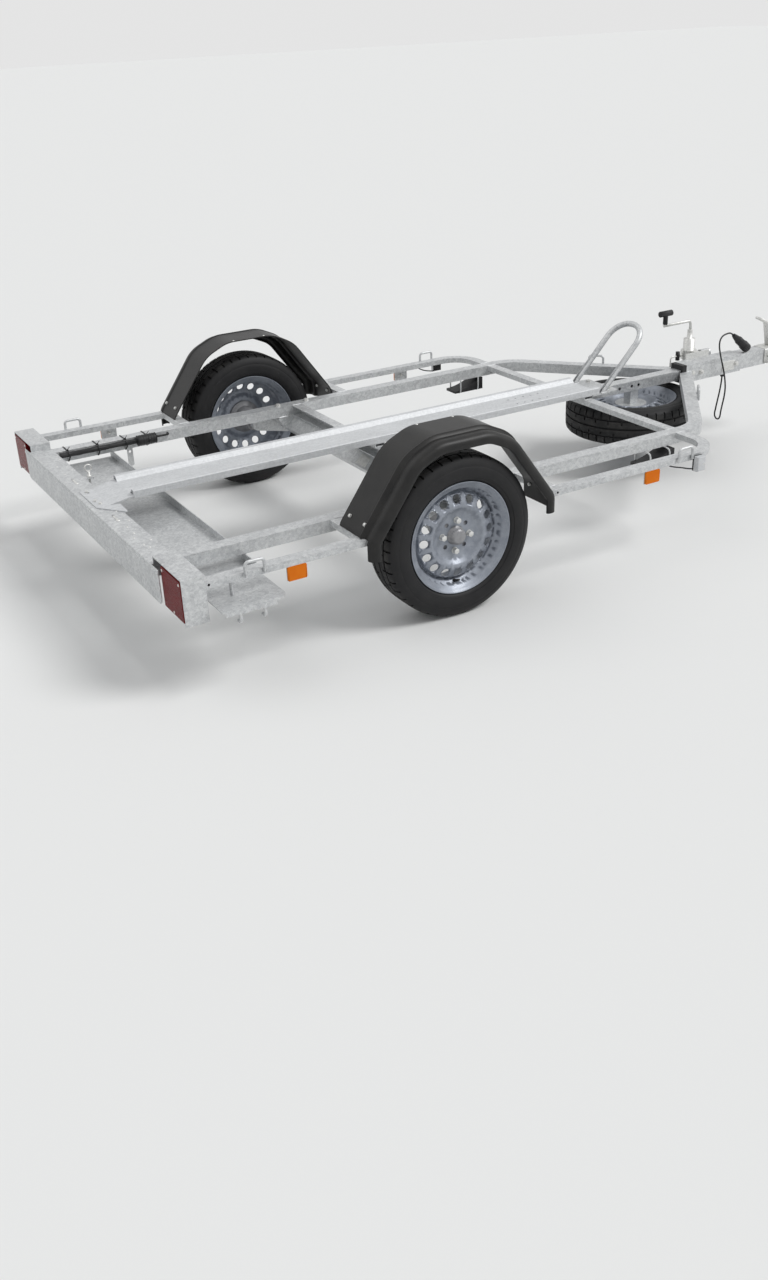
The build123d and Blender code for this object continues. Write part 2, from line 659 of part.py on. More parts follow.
# Wheels, drawn about the Y axis at y = 0 and facing +Y.
half_in = RIM_INSIDE_W / 2
half_out = RIM_OVERALL_W / 2
shoulder = TYRE_W / 2 - TYRE_SHOULDER_IN
tread = TYRE_TREAD_W / 2
bead_y = half_in - TYRE_BEAD_GAP
half_tyre = [
    (TYRE_R, tread - TYRE_TREAD_ROUND), (TYRE_R - TYRE_SHOULDER_DROP, tread),
    (TYRE_R - 5 * TYRE_SHOULDER_DROP, shoulder), (TYRE_WALL_R, TYRE_W / 2),
    (RIM_FLANGE_R + TYRE_BEAD_RISE, half_out - 2 * TYRE_BEAD_GAP), (RIM_FLANGE_R + TYRE_BEAD_GAP, bead_y),
    (BEAD_SEAT_R + BEAD_CLEARANCE, bead_y),
]
tyre_ring = turned(half_tyre + [(r, -y) for r, y in reversed(half_tyre)])
flange_lip = RIM_FLANGE_R - RIM_SHEET
half_barrel = [
    (BEAD_SEAT_R, half_in), (flange_lip, half_in), (RIM_FLANGE_R, half_out - RIM_SHEET),
    (RIM_FLANGE_R, half_out), (flange_lip, half_out), (flange_lip - RIM_SHEET, half_in + RIM_SHEET),
    (BEAD_SEAT_R - RIM_SHEET, half_in + RIM_SHEET),
]
well_top = WELL_HALF_W + WELL_SLOPE_W
well_drop = [(BEAD_SEAT_R, well_top), (WELL_R, WELL_HALF_W)]
inner_drop = [(r - RIM_SHEET, y + WELL_WALL_W) for r, y in well_drop]
barrel_outline = (
    well_drop[::-1] + half_barrel + inner_drop
    + [(r, -y) for r, y in inner_drop[::-1]] + [(r, -y) for r, y in half_barrel[::-1]]
    + [(r, -y) for r, y in well_drop]
)
disc_edge_r = WELL_R - RIM_SHEET
disc_front = [
    (HUB_BORE_R, DISC_FACE_Y), (DISC_FLAT_R, DISC_FACE_Y),
    (DISC_FLAT_R + DISC_RISE_W, DISC_FACE_Y + DISC_RISE_START),
    (DISC_FLAT_R + 2 * DISC_RISE_W, DISC_FACE_Y + DISC_DOME_Y - DISC_CROWN_DROP),
    (DISC_FLAT_R + 3 * DISC_RISE_W, DISC_FACE_Y + DISC_DOME_Y),
    (DISC_SKIRT_R, DISC_FACE_Y + DISC_RISE_START), (disc_edge_r, DISC_FACE_Y - DISC_EDGE_DROP),
]
disc_back = [(disc_edge_r, DISC_FACE_Y - DISC_EDGE_DROP - DISC_EDGE_L)]
disc_back += [(r, y - DISC_SHEET) for r, y in disc_front[-2::-1]]
rim_ring = turned(barrel_outline) + turned(disc_front + disc_back)
crown_y = DISC_FACE_Y + DISC_DOME_Y + CUT_PAST
vent_spots = [place.position for place in PolarLocations(VENT_CIRCLE_R, VENT_COUNT)]
for spot in vent_spots:
    rim_ring -= rod((spot.X, 0, spot.Y), (spot.X, crown_y, spot.Y), VENT_R)
bolt_places = PolarLocations(BOLT_CIRCLE_R, 2 * BOLT_COUNT, start_angle=BOLT_START_DEG)
bolt_spots = [place.position for place in bolt_places]
for spot in bolt_spots:
    rim_ring -= rod((spot.X, 0, spot.Y), (spot.X, DISC_FACE_Y + CUT_PAST, spot.Y), BOLT_HOLE_R)
hub_face_y = DISC_FACE_Y - DISC_SHEET - CLAMP_GAP
hub_flange_y = hub_face_y - HUB_FLANGE_T
spindle_bore_r = SPINDLE_R + RUNNING_GAP
pilot_r = HUB_BORE_R - CUT_PAST
cap_y = DISC_FACE_Y + CAP_STEP
cap_end_y = DISC_FACE_Y + CAP_RISE
hub_outline = [
    (0, SPINDLE_END_GAP), (spindle_bore_r, SPINDLE_END_GAP), (spindle_bore_r, HUB_BACK_Y),
    (HUB_BACK_R, HUB_BACK_Y), (HUB_WAIST_R, HUB_BACK_Y / 4), (HUB_BODY_R, hub_flange_y),
    (HUB_FLANGE_R, hub_flange_y), (HUB_FLANGE_R, hub_face_y), (pilot_r, hub_face_y), (pilot_r, cap_y),
    (CAP_R, cap_y), (CAP_R, cap_end_y - 4 * CAP_BEVEL / 3), (CAP_R - CAP_BEVEL, cap_end_y - CAP_BEVEL / 3),
    (0, cap_end_y),
]
hub_solid = turned(hub_outline)
wheel_place = Pos(0, WHEEL_PLANE_Y, TYRE_R)
for kind, solid in (("tyre", tyre_ring), ("rim", rim_ring), ("hub", hub_solid)):
    left = wheel_place * solid
    add(f"{kind}_left", left)
    add(f"{kind}_right", mirrored(left))

# Mudguards: one pressed sheet each, with a rolled skirt on the outside.
guard_base_z = GUARD_REAR_Z - 2 * GUARD_SKIRT
guard_points = [
    (GUARD_MID_X - GUARD_HALF_L, guard_base_z), (GUARD_MID_X - GUARD_HALF_L, GUARD_KNEE_Z),
    (GUARD_MID_X - GUARD_SHOULDER_HALF_L, GUARD_SHOULDER_Z), (GUARD_MID_X - GUARD_TOP_HALF_L, GUARD_TOP_Z),
    (GUARD_MID_X + GUARD_TOP_HALF_L, GUARD_TOP_Z), (GUARD_MID_X + GUARD_SHOULDER_HALF_L, GUARD_SHOULDER_Z),
    (GUARD_MID_X + GUARD_HALF_L, GUARD_KNEE_Z), (GUARD_MID_X + GUARD_HALF_L, guard_base_z),
]


def guard_face(inset):
    """The mudguard's side outline, set in by a distance from its outer surface."""
    line = FilletPolyline(*guard_points, radius=GUARD_BEND_R)
    face = make_face(Curve() + [line, Line(guard_points[-1], guard_points[0])])
    return offset(face, -inset, kind=Kind.INTERSECTION) if inset else face


guard = slab(guard_face(0), GUARD_INNER_Y, GUARD_OUTER_Y)
guard -= slab(guard_face(GUARD_SHEET), GUARD_INNER_Y, GUARD_OUTER_Y - GUARD_SHEET)
guard -= slab(guard_face(GUARD_SKIRT), GUARD_INNER_Y, GUARD_OUTER_Y)
rim_band = guard_face(-GUARD_BEAD) - guard_face(2 * GUARD_SHEET)
guard += slab(rim_band, GUARD_OUTER_Y - GUARD_BEAD, GUARD_OUTER_Y)
guard_x0 = GUARD_MID_X - GUARD_HALF_L - 2 * GUARD_BEAD
guard_x1 = GUARD_MID_X + GUARD_HALF_L + 2 * GUARD_BEAD
guard -= box(GUARD_MID_X, guard_x1, GUARD_INNER_Y, GUARD_OUTER_Y, 0, GUARD_FRONT_Z)
guard -= box(guard_x0, GUARD_MID_X, GUARD_INNER_Y, GUARD_OUTER_Y, 0, GUARD_REAR_Z)
guard -= box(guard_x0, GUARD_MID_X, GUARD_INNER_Y, SIDE_OUTER_Y + CUT_PAST, 0, RAIL_TOP_Z + SEAT)
add("mudguard_left", guard)
add("mudguard_right", mirrored(guard))

# Centre channel: a rolled sheet with a raised hollow band along each side and a shallow trough.
section_foot_z = CHANNEL_BOTTOM_Z - 4 * CHANNEL_SHEET
trough_z = CHANNEL_TOP_Z - TROUGH_DEPTH
half_section = [
    (CHANNEL_HALF_W, section_foot_z), (CHANNEL_HALF_W, CHANNEL_TOP_Z), (TROUGH_TOP_HALF_W, CHANNEL_TOP_Z),
    (TROUGH_HALF_W, trough_z),
]
section = make_face(Polyline(*half_section, *[(-y, z) for y, z in reversed(half_section)], close=True))
folds = section.vertices().filter_by(lambda v: v.Y > section_foot_z + CUT_PAST)
section = fillet(folds, CHANNEL_FOLD_R)
sheet = section - offset(section, -CHANNEL_SHEET, kind=Kind.INTERSECTION)
channel = Plane(origin=(CHANNEL_REAR_X, 0, 0), x_dir=(0, 1, 0), z_dir=(1, 0, 0)) * sheet
channel = extrude(channel, CHANNEL_FRONT_X - CHANNEL_REAR_X)
channel -= box(
    CHANNEL_REAR_X - CUT_PAST, CHANNEL_FRONT_X + CUT_PAST, -2 * CHANNEL_HALF_W, 2 * CHANNEL_HALF_W,
    0, CHANNEL_BOTTOM_Z,
)
# The floor carries on behind the side bands as a tapered tongue that lies on the rear beam.
tongue_top_x = CHANNEL_REAR_X + 2 * CHANNEL_SHEET
tongue_flat_x = TONGUE_REAR_X + TONGUE_FLAT_L
tongue_side = make_face(Polyline(
    (tongue_top_x, trough_z), (CHANNEL_REAR_X, trough_z), (tongue_flat_x, BEAM_TOP_Z + CHANNEL_SHEET),
    (TONGUE_REAR_X, BEAM_TOP_Z + CHANNEL_SHEET), (TONGUE_REAR_X, BEAM_TOP_Z), (tongue_flat_x, BEAM_TOP_Z),
    (CHANNEL_REAR_X, trough_z - CHANNEL_SHEET), (tongue_top_x, trough_z - CHANNEL_SHEET), close=True,
))
tongue_plan = make_face(Polyline(
    (TONGUE_REAR_X, -TONGUE_HALF_W), (CHANNEL_REAR_X, -CHANNEL_HALF_W), (tongue_top_x, -CHANNEL_HALF_W),
    (tongue_top_x, CHANNEL_HALF_W), (CHANNEL_REAR_X, CHANNEL_HALF_W), (TONGUE_REAR_X, TONGUE_HALF_W),
    close=True,
))
tongue = slab(tongue_side, -CHANNEL_HALF_W, CHANNEL_HALF_W) & extrude(tongue_plan, CHANNEL_TOP_Z)
channel += tongue
for side in (1, -1):
    channel -= post(
        TONGUE_REAR_X + TONGUE_FLAT_L / 2, side * TROUGH_HALF_W, RAIL_TOP_Z, CHANNEL_TOP_Z, TONGUE_HOLE_R
    )
    for row in range(PERFORATION_ROWS):
        channel -= post(
            PERFORATION_X + row * PERFORATION_STEP, side * TROUGH_HALF_W / 2, RAIL_TOP_Z, CHANNEL_TOP_Z,
            PERFORATION_R,
        )
add("centre_channel", channel)

# Seats of the channel: flat tubes on the two cross members, and a plate that carries the chock.
seats = []
for x_mid, width in ((FRONT_CROSS_X, SIDE_W), (MID_CROSS_X, MID_CROSS_W)):
    seats.append(straight_tube(
        x_mid - width / 2, x_mid + width / 2, -CHANNEL_HALF_W, CHANNEL_HALF_W,
        RAIL_TOP_Z, CHANNEL_BOTTOM_Z, SIDE_WALL, "y",
    ))
chock_plate_x0 = FRONT_CROSS_X + SIDE_W / 2 + 2 * SIDE_WALL
chock_plate = box(
    chock_plate_x0, CHOCK_PLATE_FRONT_X, -CHANNEL_HALF_W, CHANNEL_HALF_W,
    CHANNEL_BOTTOM_Z - CHOCK_PLATE_T, CHANNEL_BOTTOM_Z,
)
front_corners = chock_plate.edges().filter_by(Axis.Z).group_by(Axis.X)[-1]
seats.append(fillet(front_corners, CHOCK_PLATE_CORNER_R))
add("channel_seats", *seats)

# Front wheel chock: a bent round hoop that leans forward from its plate.
lean = (CHOCK_TOP_X - CHOCK_FOOT_X) / (CHOCK_TOP_Z - CHANNEL_BOTTOM_Z)
chock_start_x = CHOCK_FOOT_X - 3 * CHOCK_TUBE_R * lean
chock_start_z = CHANNEL_BOTTOM_Z - 3 * CHOCK_TUBE_R
chock = bent_rod(
    [
        (chock_start_x, CHOCK_HALF_W, chock_start_z), (CHOCK_TOP_X, CHOCK_HALF_W, CHOCK_TOP_Z),
        (CHOCK_TOP_X, -CHOCK_HALF_W, CHOCK_TOP_Z), (chock_start_x, -CHOCK_HALF_W, chock_start_z),
    ],
    CHOCK_BEND_R, CHOCK_TUBE_R,
)
chock -= box(
    chock_start_x - RAIL_W, CHOCK_TOP_X, -2 * CHOCK_HALF_W, 2 * CHOCK_HALF_W,
    chock_start_z - RAIL_W, CHANNEL_BOTTOM_Z,
)
add("wheel_chock", chock)

# Adjusting tube from the front cross tube to the drawbar, with its pairs of pin holes.
adjust = straight_tube(
    FRONT_CROSS_X + SIDE_W / 2, BAR_REAR_X + ADJUST_INSIDE_L, -ADJUST_W / 2, ADJUST_W / 2,
    ADJUST_BOTTOM_Z, ADJUST_TOP_Z, RAIL_WALL, "x",
)
for hole_x in ADJUST_HOLE_X:
    adjust -= rod((hole_x, -ADJUST_W, ADJUST_MID_Z), (hole_x, ADJUST_W, ADJUST_MID_Z), ADJUST_HOLE_R)
add("adjusting_tube", adjust)

# Drawbar: a box tube, with a dark plug in its rear end that guides the adjusting tube.
add("drawbar", straight_tube(
    BAR_REAR_X, BAR_FRONT_X, -BAR_W / 2, BAR_W / 2, BAR_BOTTOM_Z, BAR_TOP_Z, BAR_WALL, "x"
))
plug = box(BAR_REAR_X - PLUG_COLLAR_L, BAR_REAR_X, -BAR_W / 2, BAR_W / 2, BAR_BOTTOM_Z, BAR_TOP_Z)
plug_half_w = BAR_W / 2 - BAR_WALL - SEAT
plug += box(BAR_REAR_X, BAR_REAR_X + PLUG_INSIDE_L, -plug_half_w, plug_half_w, NOSE_BOTTOM_Z, NOSE_TOP_Z)
plug -= box(
    BAR_REAR_X - 2 * PLUG_COLLAR_L, BAR_REAR_X + 2 * PLUG_INSIDE_L, -ADJUST_W / 2 - SEAT, ADJUST_W / 2 + SEAT,
    ADJUST_BOTTOM_Z - SEAT, ADJUST_TOP_Z + SEAT,
)
add("drawbar_plug", plug)

# Nose tube in the drawbar's front end, and the coupling head on it with its ball socket.
add("drawbar_nose", straight_tube(
    BAR_FRONT_X - NOSE_INSIDE_L, NOSE_FRONT_X, -NOSE_HALF_W, NOSE_HALF_W, NOSE_BOTTOM_Z, NOSE_TOP_Z,
    NOSE_WALL, "x",
))
neck_half_w = NOSE_HALF_W + SEAT + HEAD_SHEET
head_top_z = NOSE_TOP_Z + SEAT + HEAD_SHEET
neck_l = NOSE_FRONT_X - HEAD_REAR_X + HEAD_END_R / 2
neck_plan = Pos(HEAD_REAR_X + neck_l / 2, 0) * Rectangle(neck_l, 2 * neck_half_w)
head_plan = make_hull(neck_plan.edges() + (Pos(BALL_X, 0) * Circle(HEAD_END_R)).edges())
head = Pos(0, 0, HEAD_BOTTOM_Z) * extrude(head_plan, head_top_z - HEAD_BOTTOM_Z)
head = fillet(head.faces().sort_by(Axis.Z)[-1].edges(), HEAD_EDGE_R)
head -= box(
    HEAD_REAR_X - CUT_PAST, NOSE_FRONT_X + SEAT, -NOSE_HALF_W - SEAT, NOSE_HALF_W + SEAT, 0, NOSE_TOP_Z + SEAT
)
socket_r = BALL_R + SOCKET_CLEARANCE
head -= Pos(BALL_X, 0, BALL_Z) * Sphere(socket_r)
head -= post(BALL_X, 0, 0, BALL_Z, socket_r)
add("coupling_head", head)
lever_points = [(BALL_X - bend["behind_ball"], 0, bend["z"]) for bend in LEVER_BENDS]
lever_route = FilletPolyline(*lever_points, radius=LEVER_BEND_R)
lever_start = Plane(origin=lever_route @ 0, x_dir=(0, 1, 0), z_dir=lever_route % 0)
lever = sweep(lever_start * RectangleRounded(LEVER_W, LEVER_T, LEVER_T / 2.5), lever_route)
lever -= box(BAR_FRONT_X, COUPLING_FRONT_X, -BAR_W, BAR_W, BAR_BOTTOM_Z, head_top_z + SEAT)
add("coupling_lever", lever)

# Jockey wheel clamp: a plate on the drawbar's left side, a web and a collar round the outer tube.
clamp_mid_z = (CLAMP_BOTTOM_Z + CLAMP_TOP_Z) / 2
collar_r = OUTER_TUBE_R + CLAMP_GAP + CLAMP_WALL
plate_y1 = BAR_W / 2 + CLAMP_PLATE_T
clamp = box(
    JOCKEY_X - CLAMP_PLATE_L / 2, JOCKEY_X + CLAMP_PLATE_L / 2, BAR_W / 2, plate_y1,
    BAR_BOTTOM_Z + BAR_WALL, CLAMP_TOP_Z,
)
clamp += box(
    JOCKEY_X - CLAMP_WEB_T / 2, JOCKEY_X + CLAMP_WEB_T / 2, plate_y1, JOCKEY_Y, CLAMP_BOTTOM_Z, CLAMP_TOP_Z
)
clamp += post(JOCKEY_X, JOCKEY_Y, CLAMP_BOTTOM_Z, CLAMP_TOP_Z, collar_r)
clamp -= post(JOCKEY_X, JOCKEY_Y, 0, BOX_TOP_Z + RAIL_H, OUTER_TUBE_R + CLAMP_GAP)
add("jockey_clamp", clamp)

# Clamp screw to the rear of the collar, with its dark knob and a hanging lever end.
screw_x0 = JOCKEY_X - collar_r - SEAT
screw = bent_rod(
    [
        (screw_x0, JOCKEY_Y, clamp_mid_z), (screw_x0 - SCREW_L, JOCKEY_Y, clamp_mid_z),
        (screw_x0 - SCREW_L, JOCKEY_Y, clamp_mid_z - LEVER_ROD_DROP),
    ],
    2 * SCREW_R, SCREW_R / 2,
)
screw += rod((screw_x0, JOCKEY_Y, clamp_mid_z), (screw_x0 - KNOB_AT, JOCKEY_Y, clamp_mid_z), SCREW_R)
add("clamp_screw", screw)
knob_x = screw_x0 - KNOB_AT - KNOB_R
knob = post(knob_x, JOCKEY_Y, clamp_mid_z - KNOB_L / 2, clamp_mid_z + KNOB_L / 2, KNOB_R)
knob -= rod(
    (screw_x0, JOCKEY_Y, clamp_mid_z), (screw_x0 - SCREW_L, JOCKEY_Y, clamp_mid_z), SCREW_R / 2 + CLAMP_GAP
)
pad_z1 = clamp_mid_z - LEVER_ROD_DROP - SEAT
pad = post(screw_x0 - SCREW_L, JOCKEY_Y, pad_z1 - KNOB_R, pad_z1, PAD_R)
add("clamp_knobs", knob, pad)

# Short parking tube for the cable's connector, on the clamp's plate.
holder_y = plate_y1 + SEAT + PLUG_TUBE_R
holder_z = CLAMP_TOP_Z - PLUG_TUBE_R
holder_x1 = PLUG_TUBE_REAR_X + PLUG_TUBE_L
holder = rod((PLUG_TUBE_REAR_X, holder_y, holder_z), (holder_x1, holder_y, holder_z), PLUG_TUBE_R)
holder -= rod(
    (PLUG_TUBE_REAR_X + PLUG_TUBE_WALL, holder_y, holder_z), (holder_x1 + CUT_PAST, holder_y, holder_z),
    PLUG_TUBE_R - PLUG_TUBE_WALL,
)
add("plug_holder", holder)

# Jockey outer tube with its cap and neck, and the crank with its grip.
tube = post(JOCKEY_X, JOCKEY_Y, TUBE_BOTTOM_Z, TUBE_TOP_Z, OUTER_TUBE_R)
tube -= post(JOCKEY_X, JOCKEY_Y, 0, TUBE_TOP_Z - TUBE_CAP_T, INNER_TUBE_R + SEAT)
tube += post(JOCKEY_X, JOCKEY_Y, TUBE_TOP_Z, NECK_TOP_Z, NECK_R)
tube = fillet(tube.edges().filter_by(GeomType.CIRCLE).group_by(Axis.Z)[-1], NECK_R / 4)
add("jockey_outer_tube", tube)
crank = bent_rod(
    [
        (JOCKEY_X, JOCKEY_Y, NECK_TOP_Z), (JOCKEY_X, JOCKEY_Y, CRANK_Z),
        (JOCKEY_X - CRANK_REACH - CRANK_R, JOCKEY_Y, CRANK_Z),
    ],
    CRANK_BEND_R, CRANK_R,
)
add("jockey_crank", crank)
grip_x = JOCKEY_X - CRANK_REACH
grip_z0 = CRANK_Z + CRANK_R + SEAT
bar_z = grip_z0 + GRIP_STEM_L + GRIP_BAR_R
grip = post(grip_x, JOCKEY_Y, grip_z0, bar_z, GRIP_STEM_R)
grip += rod(
    (grip_x - GRIP_BAR_L / 2, JOCKEY_Y, bar_z), (grip_x + GRIP_BAR_L / 2, JOCKEY_Y, bar_z), GRIP_BAR_R
)
add("jockey_grip", grip)

# Jockey inner tube that winds up and down, with a bore in its foot for the fork's stem.
crown_top_z = FORK_CROWN_Z + FORK_CROWN_T
inner_tube = post(JOCKEY_X, JOCKEY_Y, crown_top_z + SEAT, INNER_TUBE_TOP_Z, INNER_TUBE_R)
inner_tube -= post(JOCKEY_X, JOCKEY_Y, 0, crown_top_z + STEM_L + STEM_END_GAP, STEM_R + RUNNING_GAP)
add("jockey_inner_tube", inner_tube)

# Jockey fork: a pressed yoke with two tapering cheeks, a stem on top and the wheel's pin.
fork_half = JOCKEY_WHEEL_W / 2 + FORK_SIDE_GAP
yoke_half = fork_half + FORK_CHEEK_T
fork_x = JOCKEY_X - JOCKEY_TRAIL
crown_x0 = JOCKEY_X - JOCKEY_TRAIL - FORK_CROWN_FRONT / 2
crown_x1 = JOCKEY_X + FORK_CROWN_FRONT
cheek_face = make_hull(
    Polyline((crown_x0, crown_top_z), (crown_x1, crown_top_z)).edges()
    + (Pos(fork_x, JOCKEY_WHEEL_R) * Circle(3 * JOCKEY_PIN_R)).edges()
)
fork = slab(cheek_face, JOCKEY_Y - yoke_half, JOCKEY_Y + yoke_half)
fork -= box(
    crown_x0 - RAIL_W, crown_x1 + RAIL_W, JOCKEY_Y - fork_half, JOCKEY_Y + fork_half, 0, FORK_CROWN_Z
)
fork += post(JOCKEY_X, JOCKEY_Y, crown_top_z, crown_top_z + STEM_L, STEM_R)
fork += rod(
    (fork_x, JOCKEY_Y - yoke_half, JOCKEY_WHEEL_R), (fork_x, JOCKEY_Y + yoke_half, JOCKEY_WHEEL_R),
    JOCKEY_PIN_R,
)
add("jockey_fork", fork)

# Jockey wheel: a dished core and a plain tyre.
jockey_place = Pos(fork_x, JOCKEY_Y, JOCKEY_WHEEL_R)
half_w = JOCKEY_WHEEL_W / 2
pin_bore_r = JOCKEY_PIN_R + RUNNING_GAP
tyre_edge = JOCKEY_TYRE_ROUND / 4
rim_ring_r = JOCKEY_RIM_R - JOCKEY_RIM_RING
boss_y = half_w + JOCKEY_BOSS_PROUD
half_rubber = [
    (JOCKEY_WHEEL_R, half_w - JOCKEY_TYRE_ROUND),
    (JOCKEY_WHEEL_R - tyre_edge, half_w - JOCKEY_TYRE_ROUND / 3),
    (JOCKEY_WHEEL_R - JOCKEY_TYRE_ROUND, half_w), (JOCKEY_RIM_R + SEAT, half_w - tyre_edge),
]
half_core = [
    (JOCKEY_RIM_R, half_w - tyre_edge), (JOCKEY_RIM_R - 2 * JOCKEY_RIM_RING / 3, half_w - JOCKEY_RIM_LIP),
    (rim_ring_r, JOCKEY_WEB_HALF_T), (1.2 * JOCKEY_BOSS_R, JOCKEY_WEB_HALF_T),
    (JOCKEY_BOSS_R, boss_y), (pin_bore_r, boss_y),
]
rubber = turned(half_rubber + [(r, -y) for r, y in reversed(half_rubber)])
core = turned(half_core + [(r, -y) for r, y in reversed(half_core)])
add("jockey_tyre", jockey_place * rubber)
add("jockey_rim", jockey_place * core)

# Tie-down hoops of bent rod: two on each outer rail and one on the front part of each main rail.
def hoop_at(spot, foot_z):
    """A hoop whose legs stand at two spots across its width, given as a function of the offset."""
    start, end = spot(-HOOP_W / 2 + HOOP_ROD_R), spot(HOOP_W / 2 - HOOP_ROD_R)
    top_z = RAIL_TOP_Z + HOOP_RISE - HOOP_ROD_R
    corners = [(*start, foot_z), (*start, top_z), (*end, top_z), (*end, foot_z)]
    return bent_rod(corners, HOOP_BEND_R, HOOP_ROD_R)


hoops = []
side_hoop_y = SIDE_OUTER_Y + HOOP_ROD_R + SEAT
for hoop_x in SIDE_HOOP_X:
    hoops += both(hoop_at(lambda t: (hoop_x + t, side_hoop_y), RAIL_TOP_Z - HOOP_LEG))
hoop_off = RAIL_W / 2 + HOOP_ROD_R + SEAT


def front_spot(t):
    """A place along the outer side of the left main rail's front part."""
    along = FRONT_HOOP_ALONG + t
    x = RAIL_CORNER_X + along * cos(turn) + hoop_off * sin(turn)
    return x, RAIL_MID_Y - along * sin(turn) + hoop_off * cos(turn)


hoops += both(hoop_at(front_spot, RAIL_TOP_Z - HOOP_LEG))
add("tie_down_hoops", *hoops)

# Loading ramp, stowed crosswise under the rails, with a rounded near corner and two hooks at its end.
ramp_x1 = RAMP_REAR_X + RAMP_W
ramp_top_z = RAMP_BOTTOM_Z + RAMP_SHEET
ramp = box(RAMP_REAR_X, ramp_x1, RAMP_NEAR_Y, RAMP_FAR_Y, RAMP_BOTTOM_Z, ramp_top_z)
for sort_end, corner_r in ((0, RAMP_CORNER_R), (-1, RAMP_ROUND_R)):
    near_corners = ramp.edges().filter_by(Axis.Z).group_by(Axis.Y)[0]
    ramp = fillet(near_corners.sort_by(Axis.X)[sort_end], corner_r)
for lip_x in (RAMP_REAR_X, ramp_x1 - RAMP_SHEET):
    ramp += box(
        lip_x, lip_x + RAMP_SHEET, RAMP_LIP_NEAR_Y, RAMP_FAR_Y, RAMP_BOTTOM_Z, RAIL_BOTTOM_Z - SEAT
    )
ramp += box(
    RAMP_REAR_X + RAMP_CORNER_R, ramp_x1 - RAMP_ROUND_R, RAMP_NEAR_Y, RAMP_NEAR_Y + RAMP_SHEET,
    ramp_top_z - RAMP_END_LIP, ramp_top_z,
)
ramp -= post(RAMP_HOLE_X, RAMP_HOLE_Y, 0, RAIL_BOTTOM_Z, RAMP_HOLE_R)
ramp -= post(PIN_X, PIN_Y, 0, RAIL_BOTTOM_Z, PIN_R + SEAT)
hook_y = RAMP_NEAR_Y + HOOK_R + CUT_PAST
for hook_x in HOOK_X:
    ramp += bent_rod(
        [
            (hook_x, hook_y, RAMP_BOTTOM_Z + CUT_PAST), (hook_x, hook_y, ramp_top_z - HOOK_DROP),
            (hook_x, hook_y + 4 * HOOK_R, ramp_top_z - HOOK_DROP),
        ],
        2 * HOOK_R, HOOK_R,
    )
add("loading_ramp", ramp)

# What holds the ramp: a sling under each main rail, a stud from the right outer rail, a strap on
# the left main rail.
slings = []
for side in (1, -1):
    y0, y1 = side * RAIL_MID_Y - HANGER_W / 2, side * RAIL_MID_Y + HANGER_W / 2
    sling = box(
        RAMP_REAR_X - SEAT - HANGER_T, ramp_x1 + SEAT + HANGER_T, y0, y1,
        RAMP_BOTTOM_Z - SEAT - HANGER_T, RAIL_BOTTOM_Z,
    )
    sling -= box(RAMP_REAR_X - SEAT, ramp_x1 + SEAT, y0, y1, RAMP_BOTTOM_Z - SEAT, RAIL_BOTTOM_Z)
    slings.append(sling)
stud = post(RAMP_HOLE_X, STUD_Y, ramp_top_z + SEAT, SIDE_BOTTOM_Z, STUD_R)
strap = box(
    STRAP_X - STRAP_W / 2, STRAP_X + STRAP_W / 2, RAIL_INNER_Y - RAMP_SHEET, RAIL_INNER_Y,
    STRAP_BOTTOM_Z, LOOM_Z - LOOM_R - RAMP_SHEET,
)
strap -= rod((STRAP_X, 0, STRAP_HOLE_Z), (STRAP_X, RAIL_INNER_Y, STRAP_HOLE_Z), RAMP_HOLE_R)
strap = fillet(strap.edges().filter_by(Axis.Y).group_by(Axis.Z)[0], STRAP_W / 3)
add("ramp_hangers", *slings, stud, strap)

# Ring pin that drops through the beam's lug and the ramp.
lug_top_z = RAIL_TOP_Z - BEAM_LIP
pin_top_z = BEAM_TOP_Z + PIN_R
pin = post(PIN_X, PIN_Y, RAMP_BOTTOM_Z - 2 * PIN_R, pin_top_z, PIN_R)
pin += post(PIN_X, PIN_Y, lug_top_z + SEAT, lug_top_z + SEAT + PIN_R, 2 * PIN_R)
pin += Pos(PIN_X, PIN_Y, pin_top_z + PIN_RING_R) * Rot(90, 0, 0) * Torus(PIN_RING_R, PIN_RING_ROD_R)
add("ramp_pin", pin)

# Spare wheel, lying under the front with its disc up, and the carrier that it is bolted to.
lay = Pos(SPARE_X, 0, SPARE_Z) * Rot(90, 0, 0)
add("spare_tyre", lay * tyre_ring)
add("spare_rim", lay * rim_ring)
plate_z0 = SPARE_Z + DISC_FACE_Y + SEAT
carrier = post(SPARE_X, 0, plate_z0, plate_z0 + CARRIER_PLATE_T, CARRIER_PLATE_R)
half_post = CARRIER_POST / 2
carrier += box(
    SPARE_X - half_post, SPARE_X + half_post, -half_post, half_post,
    plate_z0 + CARRIER_PLATE_T, ADJUST_BOTTOM_Z,
)
nut_z1 = SPARE_Z + DISC_FACE_Y - DISC_SHEET - SEAT
for spot in (bolt_spots[0], bolt_spots[BOLT_COUNT]):
    stud_x, stud_y = SPARE_X + spot.X, -spot.Y
    carrier += post(stud_x, stud_y, nut_z1 - STUD_HEX_H, plate_z0, CARRIER_STUD_R)
    carrier += Pos(stud_x, stud_y, nut_z1 - STUD_HEX_H) * extrude(RegularPolygon(STUD_HEX_R, 6), STUD_HEX_H)
add("spare_carrier", carrier)

